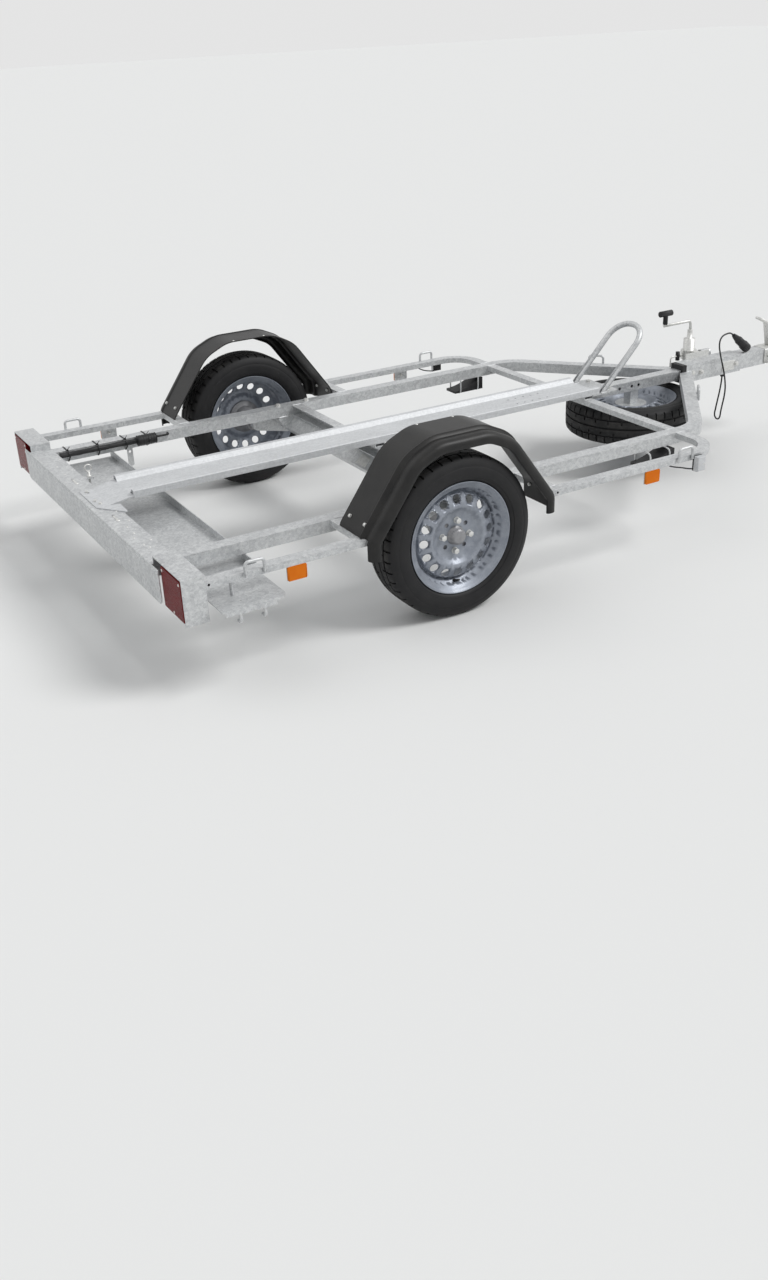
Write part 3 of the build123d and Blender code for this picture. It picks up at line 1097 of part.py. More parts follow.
# Wiring loom along the left main rail, with a taped joint, ending in a hole in the rail.
wrap_y = RAIL_INNER_Y - SEAT - WRAP_R
loom_y = wrap_y + WIRE_R
wire_y = RAIL_INNER_Y - SEAT - 3 * WIRE_R
wrap = rod((WRAP_REAR_X, wrap_y, LOOM_Z), (WRAP_FRONT_X, wrap_y, LOOM_Z), WRAP_R)
wrap = fillet(wrap.edges().filter_by(GeomType.CIRCLE), WRAP_R / 2)
wire = bent_rod(
    [
        (WRAP_FRONT_X - WRAP_R, wire_y, LOOM_Z), (WIRE_HOLE_X, wire_y, LOOM_Z),
        (WIRE_HOLE_X, RAIL_MID_Y, LOOM_Z),
    ],
    2 * WIRE_R, WIRE_R,
)
wiring = rod((LOOM_REAR_X, loom_y, LOOM_Z), (WRAP_REAR_X + WRAP_R, loom_y, LOOM_Z), LOOM_R)
add("wiring", wiring + wrap + wire)

# Supply cable: it leaves a gland under the drawbar, hangs in a loop and ends in its connector.
gland_z0 = BAR_BOTTOM_Z - GLAND_L
gland = post(GLAND_X, GLAND_Y, gland_z0, BAR_BOTTOM_Z, GLAND_R)
gland += post(GLAND_X, GLAND_Y, BAR_BOTTOM_Z - GLAND_FLANGE_T, BAR_BOTTOM_Z, GLAND_FLANGE_R)
add("cable_gland", gland)
cable_start = (GLAND_X, GLAND_Y, gland_z0)
cable_points = [Vector(*point) for point in (cable_start, *CABLE_ROUTE, CABLE_END)]
cable_radii = []
for before, here, after in zip(cable_points, cable_points[1:], cable_points[2:]):
    shorter = min((here - before).length, (after - here).length)
    half_turn = radians((here - before).get_angle(after - here)) / 2
    cable_radii.append(CABLE_ROUNDING * shorter / tan(half_turn))
cable_path = FilletPolyline(*cable_points, radius=cable_radii)
cable = sweep(Plane(origin=cable_path @ 0, z_dir=cable_path % 0) * Circle(CABLE_R), cable_path)
add("supply_cable", cable)
cable_way = Vector(*CONNECTOR_HEAD) - Vector(*CABLE_END)
shell_r = CONNECTOR_R - CONNECTOR_SHELL_IN
connector_half = [
    (0, 0), (CONNECTOR_TAIL_R, 0), (CONNECTOR_TAIL_R + CONNECTOR_STEP / 2, 2 * CONNECTOR_STEP),
    (shell_r - CONNECTOR_STEP / 2, CONNECTOR_TAIL_L), (shell_r, CONNECTOR_TAIL_L + CONNECTOR_STEP),
    (shell_r, CONNECTOR_SHELL_L), (CONNECTOR_R, CONNECTOR_SHELL_L + CONNECTOR_STEP),
    (CONNECTOR_R, cable_way.length), (0, cable_way.length),
]
connector_face = Plane.XZ * make_face(Polyline(*connector_half, close=True))
add("cable_connector", Plane(origin=CABLE_END, z_dir=cable_way) * revolve(connector_face, Axis.Z, 360))

if __name__ == "__main__":
    os.makedirs("parts", exist_ok=True)
    shift = Pos(-ORIGIN_X, -ORIGIN_Y, 0)
    for name, pieces in parts.items():
        solids = [solid for piece in pieces for solid in (shift * piece).solids()]
        body = solids[0] if len(solids) == 1 else Compound(children=solids)
        export_step(body, f"parts/{name}.step")
    print(len(parts), "nodes")
    print("cable radii", [round(radius, 1) for radius in cable_radii], "length", round(cable_path.length, 1))
    straight_volume = pi * CABLE_R**2 * cable_path.length
    print("cable volume over section times length", round(cable.volume / straight_volume, 4))
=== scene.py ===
from math import atan2, cos, pi, radians, sin, tan

import bmesh
import bpy
from mathutils import Matrix, Vector


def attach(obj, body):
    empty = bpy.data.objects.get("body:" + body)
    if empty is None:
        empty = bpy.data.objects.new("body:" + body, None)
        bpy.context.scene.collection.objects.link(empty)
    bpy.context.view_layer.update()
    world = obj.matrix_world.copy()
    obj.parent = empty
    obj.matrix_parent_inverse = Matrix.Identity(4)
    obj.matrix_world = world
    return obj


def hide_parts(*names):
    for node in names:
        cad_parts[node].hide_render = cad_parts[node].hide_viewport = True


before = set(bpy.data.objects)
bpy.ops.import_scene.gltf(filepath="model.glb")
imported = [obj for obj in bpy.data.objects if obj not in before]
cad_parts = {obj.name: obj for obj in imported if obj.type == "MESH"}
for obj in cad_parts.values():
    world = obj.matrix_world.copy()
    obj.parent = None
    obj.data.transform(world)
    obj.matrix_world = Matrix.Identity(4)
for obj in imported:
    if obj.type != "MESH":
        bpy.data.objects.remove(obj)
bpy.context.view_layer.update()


# The viewpoint: behind the right rear corner of the trailer, a little above head height, looking
# forward and down along the frame. The lens is a phone's, about 57 mm on a 36 mm wide picture.
MIDDLE_X, MIDDLE_Y = 677.75, -25
CAMERA_SPOT = (-1927.0, -3725.4, 1722.5)
YAW, PITCH, ROLL = 0.5134, 0.4782, 0.0441
SENSOR_WIDTH, FOCAL_LENGTH = 36, 56.86


def at(x, y, z):
    """A place measured in millimetres from the axle line, in metres from the trailer's middle."""
    return Vector((x - MIDDLE_X, y - MIDDLE_Y, z)) / 1000


ahead = Vector((sin(YAW) * cos(PITCH), cos(YAW) * cos(PITCH), -sin(PITCH)))
level = Vector((cos(YAW), -sin(YAW), 0))
downward = ahead.cross(level)
to_right = level * cos(ROLL) + downward * sin(ROLL)
to_foot = downward * cos(ROLL) - level * sin(ROLL)
bpy.ops.object.camera_add()
camera = bpy.context.object
camera.matrix_world = (
    Matrix.Translation(at(*CAMERA_SPOT))
    @ Matrix((to_right, -to_foot, -ahead)).transposed().to_4x4()
)
camera.data.sensor_fit = "HORIZONTAL"
camera.data.sensor_width = SENSOR_WIDTH
camera.data.lens = FOCAL_LENGTH
camera.data.clip_end = 200
scene = bpy.context.scene
scene.camera = camera
scene.view_settings.view_transform = "Standard"


# The studio: a pale matt floor with no edge in view, a pale surround and two wide soft lamps, the
# stronger one high in front on the right. The floor and the surround are not part of the trailer.
def soft_lamp(spot, spread, strength):
    """Even light from far away in one direction, with soft shadows."""
    bpy.ops.object.light_add(type="SUN", location=spot)
    lamp = bpy.context.object
    lamp.rotation_euler = (-Vector(spot)).to_track_quat("-Z", "Y").to_euler()
    lamp.data.angle = radians(spread)
    lamp.data.energy = strength


soft_lamp((3.2, -2.6, 4.2), 24, 1.75)
soft_lamp((-3.0, 2.0, 5.0), 50, 0.45)
bpy.ops.mesh.primitive_plane_add(size=120)
floor = bpy.context.object
floor.name = "studio_floor"
floor_paint = bpy.data.materials.new("studio_floor")
floor_paint.use_nodes = True
floor_surface = floor_paint.node_tree.nodes["Principled BSDF"]
floor_surface.inputs["Base Color"].default_value = (0.80, 0.80, 0.79, 1)
floor_surface.inputs["Roughness"].default_value = 0.9
floor_surface.inputs["Specular IOR Level"].default_value = 0.1
floor.data.materials.append(floor_paint)
scene.world = bpy.data.worlds.new("studio")
scene.world.use_nodes = True
sky = scene.world.node_tree
sky.nodes.clear()
rays = sky.nodes.new("ShaderNodeLightPath")
seen = sky.nodes.new("ShaderNodeMath")
seen.operation = "MAXIMUM"
sky.links.new(rays.outputs["Is Camera Ray"], seen.inputs[0])
sky.links.new(rays.outputs["Is Glossy Ray"], seen.inputs[1])
seen_through = sky.nodes.new("ShaderNodeMath")
seen_through.operation = "MAXIMUM"
sky.links.new(seen.outputs[0], seen_through.inputs[0])
sky.links.new(rays.outputs["Is Transmission Ray"], seen_through.inputs[1])
lighting = sky.nodes.new("ShaderNodeBackground")
lighting.inputs["Color"].default_value = (0.96, 0.98, 1.0, 1)
lighting.inputs["Strength"].default_value = 0.50
backdrop = sky.nodes.new("ShaderNodeBackground")
backdrop.inputs["Color"].default_value = (0.78, 0.78, 0.78, 1)
backdrop.inputs["Strength"].default_value = 1.0
either = sky.nodes.new("ShaderNodeMixShader")
sky.links.new(seen_through.outputs[0], either.inputs[0])
sky.links.new(lighting.outputs[0], either.inputs[1])
sky.links.new(backdrop.outputs[0], either.inputs[2])
sky_out = sky.nodes.new("ShaderNodeOutputWorld")
sky.links.new(either.outputs[0], sky_out.inputs[0])


# Tools for finishes: a wire carries a value between shader nodes and can be worked with in sums,
# and a finish is one material being mixed on it.
class Wire:
    """One output of a shader node."""

    def __init__(self, tree, socket):
        self.tree = tree
        self.socket = socket

    def work(self, operation, *terms):
        node = self.tree.nodes.new("ShaderNodeMath")
        node.operation = operation
        for end, term in zip(node.inputs, terms):
            lead(self.tree, end, term)
        return Wire(self.tree, node.outputs[0])

    def __add__(self, other):
        return self.work("ADD", self, other)

    def __mul__(self, other):
        return self.work("MULTIPLY", self, other)

    __radd__ = __add__
    __rmul__ = __mul__


def lead(tree, end, term):
    """Gives a socket a wire, a colour or a number."""
    if isinstance(term, Wire):
        tree.links.new(term.socket, end)
    elif isinstance(term, tuple) and len(term) == 3 and len(end.default_value) == 4:
        end.default_value = (*term, 1)
    else:
        end.default_value = term


class Finish:
    """A material being mixed."""

    def __init__(self, name, colour, roughness, metallic=0.0, coat=0.0):
        self.material = bpy.data.materials.new(name)
        self.material.use_nodes = True
        self.tree = self.material.node_tree
        self.surface = self.tree.nodes["Principled BSDF"]
        self.set("Base Color", colour)
        self.set("Roughness", roughness)
        self.set("Metallic", metallic)
        self.set("Coat Weight", coat)
        self.set("Coat Roughness", 0.08)

    def set(self, socket, value):
        lead(self.tree, self.surface.inputs[socket], value)

    def node(self, kind, settings=None, feeds=None, output=0):
        node = self.tree.nodes.new("ShaderNode" + kind)
        for key, value in (settings or {}).items():
            if key == "stops":
                stops = node.color_ramp.elements
                while len(stops) < len(value):
                    stops.new(1.0)
                for stop, (place, shade) in zip(stops, value):
                    stop.position = place
                    stop.color = (shade, shade, shade, 1)
            else:
                setattr(node, key, value)
        for key, value in (feeds or {}).items():
            lead(self.tree, node.inputs[key], value)
        return Wire(self.tree, node.outputs[output])

    def place(self, scale=(1.0, 1.0, 1.0), centre=(0.0, 0.0, 0.0)):
        """Places on the piece, shifted to a centre and stretched."""
        where = self.node("TexCoord", output="Object")
        moved = self.node("VectorMath", {"operation": "SUBTRACT"}, {0: where, 1: tuple(centre)})
        feeds = {"Vector": moved, "Scale": tuple(scale)}
        return self.node("Mapping", {"vector_type": "POINT"}, feeds)

    def cloud(self, size, detail=2.0, stretch=(1.0, 1.0, 1.0)):
        """Soft patches of about a size in metres, from 0 to 1."""
        return self.node(
            "TexNoise", None,
            {"Vector": self.place(stretch), "Scale": 1 / size, "Detail": detail, "Roughness": 0.55},
        )

    def grains(self, size, stretch=(1.0, 1.0, 1.0)):
        """A different value from 0 to 1 for each grain of about a size in metres."""
        shade = self.node(
            "TexVoronoi", None, {"Vector": self.place(stretch), "Scale": 1 / size}, "Color"
        )
        return self.node("SeparateColor", None, {0: shade})

    def graded(self, value, *stops):
        return self.node("ValToRGB", {"stops": stops}, {0: value})

    def between(self, factor, first, second):
        """A colour between two, by a factor."""
        return self.node("Mix", {"data_type": "RGBA"}, {0: factor, 6: first, 7: second}, 2)

    def relief(self, height, depth, strength=1.0):
        """Raises the surface by a height from 0 to 1 over a depth in metres."""
        self.set("Normal", self.node(
            "Bump", None, {"Height": height, "Distance": depth, "Strength": strength}, "Normal"
        ))


# Hot-dip galvanised steel, the finish of nearly the whole frame: pale grey zinc that froze in
# crystals about a centimetre across, each dull or bright in its own way, with runs and clouds.
def zinc(name, dull, bright, metallic, crystal=0.008):
    finish = Finish(name, bright, 0.45, metallic)
    spangle = finish.grains(crystal)
    fine = finish.grains(crystal / 3)
    haze = finish.cloud(0.09, 3)
    runs = finish.cloud(0.035, 2, (1, 1, 0.25))
    tone = spangle * 0.30 + fine * 0.20 + haze * 0.30 + runs * 0.20
    shade = finish.graded(tone, (0.24, 0), (0.76, 1))
    finish.set("Base Color", finish.between(shade, dull, bright))
    finish.set("Roughness", 0.38 + spangle * 0.10 + haze * 0.10)
    finish.relief(runs * 0.5 + finish.cloud(0.004, 3) * 0.5, 0.0004, 0.25)
    return finish.material


def coat(material, *nodes):
    """Gives carried-over pieces their finish."""
    for node in nodes:
        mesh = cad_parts[node].data
        mesh.materials.clear()
        mesh.materials.append(material)


galvanised = zinc("galvanised_steel", (0.44, 0.45, 0.46), (0.70, 0.71, 0.71), 0.55)
coat(
    galvanised, "main_rails", "front_hoop", "rear_side_rails", "mid_cross", "rear_beam",
    "axle_beam", "axle_brackets", "torsion_arms", "channel_seats", "adjusting_tube", "drawbar",
    "drawbar_nose", "plug_holder", "loading_ramp", "ramp_hangers", "spare_carrier",
)


# Round parts keep the shape they were made with and get an even shading round their curves. The
# bent tube of the front wheel chock and the tie-down hoops are the first of them.
def placed(name, data):
    """A new object in the scene, from a mesh or a curve."""
    piece = bpy.data.objects.new(name, data)
    scene.collection.objects.link(piece)
    return piece


def lone(pieces):
    """Selects just these pieces, the first of them active."""
    bpy.ops.object.select_all(action="DESELECT")
    for piece in pieces:
        piece.select_set(True)
    bpy.context.view_layer.objects.active = pieces[0]


def edit(piece):
    """Starts work on one piece's mesh, with nothing else selected."""
    lone([piece])
    bpy.ops.object.mode_set(mode="EDIT")


def smoothed(node, body, material, angle=32):
    """A copy of a carried-over piece with its facets joined and shaded as one surface."""
    piece = placed(node + "_smooth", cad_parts[node].data.copy())
    edit(piece)
    bpy.ops.mesh.select_all(action="SELECT")
    bpy.ops.mesh.remove_doubles(threshold=0.00002)
    bpy.ops.object.mode_set(mode="OBJECT")
    bpy.ops.object.shade_smooth_by_angle(angle=radians(angle))
    piece.data.materials.clear()
    piece.data.materials.append(material)
    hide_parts(node)
    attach(piece, body)
    return piece


smoothed("wheel_chock", "frame", galvanised)
smoothed("tie_down_hoops", "frame", galvanised)


# The centre channel: sheet rolled to shape from bright zinc-coated coil, with faint lines along it
# from the rolls, and brighter than the dipped frame. The coupling and the jockey wheel's steel are
# plated in the same way, lighter and shinier.
def rolled_zinc(name, dull, bright, metallic, shine):
    finish = Finish(name, bright, shine, metallic)
    lines = finish.cloud(0.004, 2, (0.02, 1, 1))
    haze = finish.cloud(0.12, 3)
    fine = finish.grains(0.006)
    tone = lines * 0.45 + haze * 0.35 + fine * 0.2
    finish.set("Base Color", finish.between(finish.graded(tone, (0.3, 0), (0.7, 1)), dull, bright))
    finish.set("Roughness", shine + lines * 0.10 + haze * 0.12)
    finish.relief(lines, 0.0002, 0.4)
    return finish.material


rolled = rolled_zinc("rolled_zinc", (0.52, 0.53, 0.54), (0.68, 0.69, 0.70), 0.35, 0.48)
coat(rolled, "centre_channel")
plated = rolled_zinc("plated_zinc", (0.58, 0.58, 0.56), (0.78, 0.78, 0.76), 0.6, 0.34)
for node, angle in (
    ("coupling_head", 40), ("jockey_clamp", 30), ("clamp_screw", 30), ("jockey_outer_tube", 30),
    ("jockey_crank", 30), ("ramp_pin", 30),
):
    smoothed(node, "frame", plated, angle)
smoothed("jockey_inner_tube", "jockey_stem", plated)
smoothed("jockey_fork", "jockey_caster", plated)


# Tyres: black rubber, worn a little grey on the tread. The tread has a groove round the middle
# and one each side, and cross cuts that part the shoulders into blocks. The side walls are bare.
TYRE_PROFILE = (
    (165.1, 49.8), (176, 49.8), (183.6, 50.5), (183.9, 60), (187, 65.5), (192, 68.6), (197, 70),
    (197.6, 71.8), (204, 73.6), (212, 74.8), (222, 74.9), (230, 73.7), (231.2, 73.0), (232.4, 73.3),
    (241, 70.8), (249, 67.4), (256, 62.4), (260.6, 57), (262.9, 48), (263.6, 36), (263.7, 29),
    (263.9, 17), (264, 4),
)
TREAD_STEPS = 270
TREAD_FROM_R = 254
MIDDLE_GROOVE = 4
SIDE_GROOVE = (29, 36)
INNER_CUT_FROM = 17
SHOULDER_CUT_EVERY, INNER_CUT_EVERY = 6, 9
GROOVE_DEPTH = 0.006
WHEEL_Y, WHEEL_Z = 760, 264
SPARE_X, SPARE_Z = 1390, 214


def pick(piece, wanted):
    """Selects the faces whose middle and normal are wanted."""
    bpy.ops.mesh.select_mode(type="FACE")
    bpy.ops.mesh.select_all(action="DESELECT")
    mesh = bmesh.from_edit_mesh(piece.data)
    for face in mesh.faces:
        face.select_set(bool(wanted(face.calc_center_median(), face.normal)))
    bmesh.update_edit_mesh(piece.data)


def spun(name, outline, steps):
    """A ring or a knob: an outline of (radius, offset) in millimetres turned about the Y axis."""
    points = [(radius / 1000, offset / 1000, 0) for radius, offset in outline]
    mesh = bpy.data.meshes.new(name)
    mesh.from_pydata(points, [(i, i + 1) for i in range(len(points) - 1)], [])
    piece = placed(name, mesh)
    edit(piece)
    bpy.ops.mesh.select_all(action="SELECT")
    bpy.ops.mesh.spin(steps=steps, angle=2 * pi, center=(0, 0, 0), axis=(0, 1, 0))
    bpy.ops.mesh.select_all(action="SELECT")
    bpy.ops.mesh.remove_doubles(threshold=0.00001)
    bpy.ops.mesh.normals_make_consistent(inside=False)
    bpy.ops.object.mode_set(mode="OBJECT")
    return piece


def turn_of(spot):
    """Which step round the wheel a place is in."""
    return int((atan2(spot.z, spot.x) + pi) / (2 * pi) * TREAD_STEPS) % TREAD_STEPS


def in_groove(spot, normal):
    """Whether a face of the tread lies in a groove or in a cross cut."""
    radius = Vector((spot.x, spot.z)).length * 1000
    across = abs(spot.y) * 1000
    if radius < TREAD_FROM_R:
        return False
    step = turn_of(spot)
    groove_start, groove_end = SIDE_GROOVE
    if across < MIDDLE_GROOVE or groove_start < across < groove_end:
        return True
    if across > groove_end:
        return step % SHOULDER_CUT_EVERY == (0 if spot.y > 0 else 3)
    return step % INNER_CUT_EVERY == (4 if spot.y > 0 else 0) and across > INNER_CUT_FROM


def tread_tyre():
    far_half = ((radius, -offset) for radius, offset in reversed(TYRE_PROFILE))
    piece = spun("tread_tyre", [*TYRE_PROFILE, *far_half, TYRE_PROFILE[0]], TREAD_STEPS)
    edit(piece)
    pick(piece, in_groove)
    bpy.ops.mesh.extrude_region_shrink_fatten(TRANSFORM_OT_shrink_fatten={"value": -GROOVE_DEPTH})
    bpy.ops.object.mode_set(mode="OBJECT")
    bpy.ops.object.shade_smooth_by_angle(angle=radians(38))
    return piece


def rubber(name, centre, along):
    """Tyre rubber: the radius from the axle tells the tread from the side wall."""
    finish = Finish(name, (0.03, 0.03, 0.032), 0.6)
    spot = finish.place((1, 0, 1) if along == "y" else (1, 1, 0), centre)
    radius = finish.node("VectorMath", {"operation": "LENGTH"}, {0: spot}, "Value")
    dust = finish.cloud(0.05, 4)
    tread = finish.graded(radius * 3.5, (0.905, 0), (0.918, 1))
    grey = finish.graded(dust, (0.35, 0), (0.75, 1)) * (0.16 + tread * 0.55)
    finish.set("Base Color", finish.between(grey, (0.010, 0.010, 0.011), (0.062, 0.060, 0.057)))
    finish.set("Roughness", 0.46 + dust * 0.22 + tread * 0.12)
    finish.set("Specular IOR Level", 0.3)
    rings = finish.node("TexWave", {"wave_type": "RINGS", "rings_direction": "SPHERICAL"}, {
        "Vector": spot, "Scale": 60.0, "Distortion": 0.0,
    })
    finish.relief(rings * 0.6 + finish.cloud(0.0015, 2) * 0.4, 0.00025, 0.5)
    return finish.material


tread_master = tread_tyre()
WHEELS = (
    # node, body, middle, the way the disc faces
    ("tyre_left", "wheel_left", at(0, WHEEL_Y, WHEEL_Z), "y"),
    ("tyre_right", "wheel_right", at(0, -WHEEL_Y, WHEEL_Z), "y"),
    ("spare_tyre", "frame", at(SPARE_X, 0, SPARE_Z), "z"),
)
for node, body, middle, along in WHEELS:
    mesh = tread_master.data.copy()
    if along == "z":
        mesh.transform(Matrix.Rotation(radians(90), 4, "X"))
    mesh.transform(Matrix.Translation(middle))
    piece = placed(node + "_tread", mesh)
    mesh.materials.clear()
    mesh.materials.append(rubber(node + "_rubber", middle, along))
    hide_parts(node)
    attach(piece, body)
bpy.data.objects.remove(tread_master)


# Fasteners: zinc-plated hex bolts on round washers, and nuts with the thread's end standing out.
# One of each kind is made, and its copies are set where the frame, axle and mudguards are bolted.
FACING = {
    "+x": Vector((1, 0, 0)), "-x": Vector((-1, 0, 0)),
    "+y": Vector((0, 1, 0)), "-y": Vector((0, -1, 0)),
    "+z": Vector((0, 0, 1)), "-z": Vector((0, 0, -1)),
    "up slope": Vector((-0.808, 0, 0.589)),
}
# Sizes of a bolt in metres, for each millimetre across its flats.
WASHER_R, HEAD_R, THREAD_R = 0.00062, 0.000577, 0.00029
CHAMFER_IN, CHAMFER_UP = 0.0001, 0.00006


def hex_bolt(across, head, thread=0.0):
    """A hex head on its washer, facing +Z from z = 0; with a thread it is a nut."""
    washer = across * 0.1
    shapes = []
    bpy.ops.mesh.primitive_cylinder_add(
        vertices=28, radius=across * WASHER_R, depth=washer / 1000, location=(0, 0, washer / 2000)
    )
    shapes.append(bpy.context.object)
    bpy.ops.mesh.primitive_cylinder_add(
        vertices=6, radius=across * HEAD_R, depth=head / 1000,
        location=(0, 0, (washer + head / 2) / 1000),
    )
    shapes.append(bpy.context.object)
    edit(shapes[-1])
    pick(shapes[-1], lambda spot, normal: normal.z > 0.9)
    bpy.ops.mesh.inset(thickness=across * CHAMFER_IN)
    bpy.ops.transform.translate(value=(0, 0, across * CHAMFER_UP))
    bpy.ops.object.mode_set(mode="OBJECT")
    if thread:
        top = washer + head
        bpy.ops.mesh.primitive_cylinder_add(
            vertices=14, radius=across * THREAD_R, depth=thread / 1000,
            location=(0, 0, (top + thread / 2) / 1000),
        )
        shapes.append(bpy.context.object)
    lone(shapes)
    bpy.ops.object.join()
    bpy.ops.object.transform_apply(location=True, rotation=True, scale=True)
    return bpy.context.object


def joined(name, pieces, body, material, angle=32):
    """Several loose shapes made one piece with one finish."""
    lone(pieces)
    if len(pieces) > 1:
        bpy.ops.object.join()
    piece = bpy.context.object
    piece.name = name
    bpy.ops.object.transform_apply(location=True, rotation=True, scale=True)
    bpy.ops.object.shade_smooth_by_angle(angle=radians(angle))
    piece.data.materials.clear()
    piece.data.materials.append(material)
    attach(piece, body)
    return piece


def fastened(name, master, spots, body="frame", material=None):
    """Copies of one fastener at (x, y, z, facing), in millimetres from the axle line."""
    copies = []
    for x, y, z, facing in spots:
        mesh = master.data.copy()
        mesh.transform(FACING[facing].to_track_quat("Z", "Y").to_matrix().to_4x4())
        mesh.transform(Matrix.Translation(at(x, y, z)))
        copies.append(placed(name, mesh))
    return joined(name, copies, body, material or plated)


def mirrored(spots):
    """Each row again on the other side of the centre line."""
    swapped = {"+y": "-y", "-y": "+y"}
    return [*spots, *((x, -y, z, swapped.get(facing, facing)) for x, y, z, facing in spots)]


large_bolt = hex_bolt(17, 6.5)
large_nut = hex_bolt(17, 8, 6)
small_bolt = hex_bolt(10, 4)
small_nut = hex_bolt(10, 5, 4)
fastened("axle_bolts", large_bolt, mirrored([(67, 588, 339, "+z"), (193, 588, 339, "+z")]))
fastened("axle_nuts", large_nut, mirrored([(67, 588, 291, "-z"), (193, 588, 291, "-z")]))
fastened("drawbar_bolts", large_bolt, [
    (1736, 41, 326, "+y"), (1822, 41, 316, "+y"), (1690, -35, 329, "-y"), (1936, -35, 329, "-y"),
    (2128, -35, 330, "-y"),
])
fastened("drawbar_nuts", large_nut, [
    (1736, -35, 326, "-y"), (1690, 35, 329, "+y"), (1936, 35, 329, "+y"), (2128, 35, 330, "+y"),
])
fastened("chock_bolts", large_bolt, mirrored([(1214, 62, 352, "+z")]))
fastened("tongue_bolts", small_bolt, [
    (-893, 70, 345, "+z"), (-896, -30, 345, "+z"), (-890, -62, 345, "+z"),
])
fastened("reflector_nuts", small_nut, mirrored([(-565, 812, 296, "-y"), (775, 812, 296, "-y")]))
fastened("brace_bolts", small_bolt, mirrored([(-318, 702, 342.5, "+z"), (-318, 792, 342.5, "+z")]))
fastened("fork_nuts", large_nut, [(1739, 124, 80, "+y"), (1739, 56, 80, "-y")], "jockey_caster")
fastened("mudguard_bolts", small_bolt, mirrored([
    (350.7, 702, 329, "-x"), (350.7, 792, 329, "-x"),
    (-320, 702, 374.8, "up slope"), (-320, 792, 374.8, "up slope"),
]))


# Weld beads: the frame is welded before it is dipped, so each joint shows a rippled bead of the
# same dull zinc along its edge.
def meshed(piece):
    """A curve turned into a mesh."""
    lone([piece])
    bpy.ops.object.convert(target="MESH")
    return bpy.context.object


def bead(start, end, size=2.6, step=4.0):
    """One rippled bead between two places, in millimetres."""
    reach = Vector(end) - Vector(start)
    count = max(2, round(reach.length / step))
    line = bpy.data.curves.new("bead", "CURVE")
    line.dimensions = "3D"
    line.bevel_depth = size / 1000
    line.bevel_resolution = 1
    line.use_fill_caps = True
    run = line.splines.new("POLY")
    run.points.add(count)
    for i, point in enumerate(run.points):
        point.co = (*at(*(Vector(start) + reach * (i / count))), 1)
        point.radius = 1.0 if i % 2 else 0.78
    return meshed(placed("bead", line))


BEADS = (
    # start, end, on both sides of the trailer
    ((1066, 563, 338.2), (1104, 563, 338.2)),
    ((1065, 563, 320), (1065, 563, 337)),
    ((1066, 613, 338.2), (1104, 613, 338.2)),
    ((1065, 613, 320), (1065, 613, 337)),
    ((356, 613, 338.2), (394, 613, 338.2)),
    ((395, 613, 320), (395, 613, 337)),
    ((356, 780, 338.2), (394, 780, 338.2)),
    ((395, 780, 320), (395, 780, 337)),
    ((-344, 613, 338.2), (-306, 613, 338.2)),
    ((-345, 613, 320), (-345, 613, 337)),
    ((-344, 780, 338.2), (-306, 780, 338.2)),
    ((-345, 780, 320), (-345, 780, 337)),
    ((118, 563, 320), (118, 563, 337)),
    ((119, 563, 338.2), (157, 563, 338.2)),
    ((1657, 35, 338), (1683, 35, 338)),
    ((1684, 35, 301), (1684, 35, 337)),
    ((57, 563, 299), (203, 563, 299)),
    ((57, 613, 299), (203, 613, 299)),
    ((-594, 815, 318.4), (-536, 815, 318.4)),
    ((746, 815, 318.4), (804, 815, 318.4)),
    ((-849, 563, 338.6), (-849, 613, 338.6)),
    ((-733, 822, 327), (-733, 822, 337)),
    ((-663, 822, 327), (-663, 822, 337)),
    ((880, 822, 327), (880, 822, 337)),
    ((950, 822, 327), (950, 822, 337)),
    ((1105, 25, 307), (1105, 25, 337)),
    ((1150, 74, 352.5), (1176, 74, 352.5)),
    ((1150, 96, 352.5), (1176, 96, 352.5)),
)
beads = []
for start, end in BEADS:
    beads.append(bead(start, end))
    beads.append(bead((start[0], -start[1], start[2]), (end[0], -end[1], end[2])))
joined("weld_beads", beads, "frame", galvanised, 50)


# Rear beam: the channel's near edge strip is folded out flat on the beam, a bolt lies in each slot,
# and rivets hold the plate down.
def block(x0, x1, y0, y1, z0, z1, rounding=0.0):
    """A block between six faces in millimetres, its edges rounded."""
    bpy.ops.object.select_all(action="DESELECT")
    bpy.ops.mesh.primitive_cube_add(size=1, location=(at(x0, y0, z0) + at(x1, y1, z1)) / 2)
    piece = bpy.context.object
    piece.scale = at(x1, y1, z1) - at(x0, y0, z0)
    bpy.ops.object.transform_apply(location=True, rotation=True, scale=True)
    if rounding:
        edit(piece)
        bpy.ops.mesh.select_all(action="SELECT")
        bpy.ops.mesh.bevel(offset=rounding / 1000, segments=3, affect="EDGES")
        bpy.ops.object.mode_set(mode="OBJECT")
    return piece


def plate(name, outline, z0, thickness):
    """A flat plate lying level, from its outline's corners and thickness in millimetres."""
    mesh = bpy.data.meshes.new(name)
    mesh.from_pydata([at(x, y, z0) for x, y in outline], [], [tuple(range(len(outline)))])
    piece = placed(name, mesh)
    edit(piece)
    bpy.ops.mesh.select_all(action="SELECT")
    bpy.ops.mesh.extrude_region_move(TRANSFORM_OT_translate={"value": (0, 0, thickness / 1000)})
    bpy.ops.mesh.select_all(action="SELECT")
    bpy.ops.mesh.normals_make_consistent(inside=False)
    bpy.ops.object.mode_set(mode="OBJECT")
    return piece


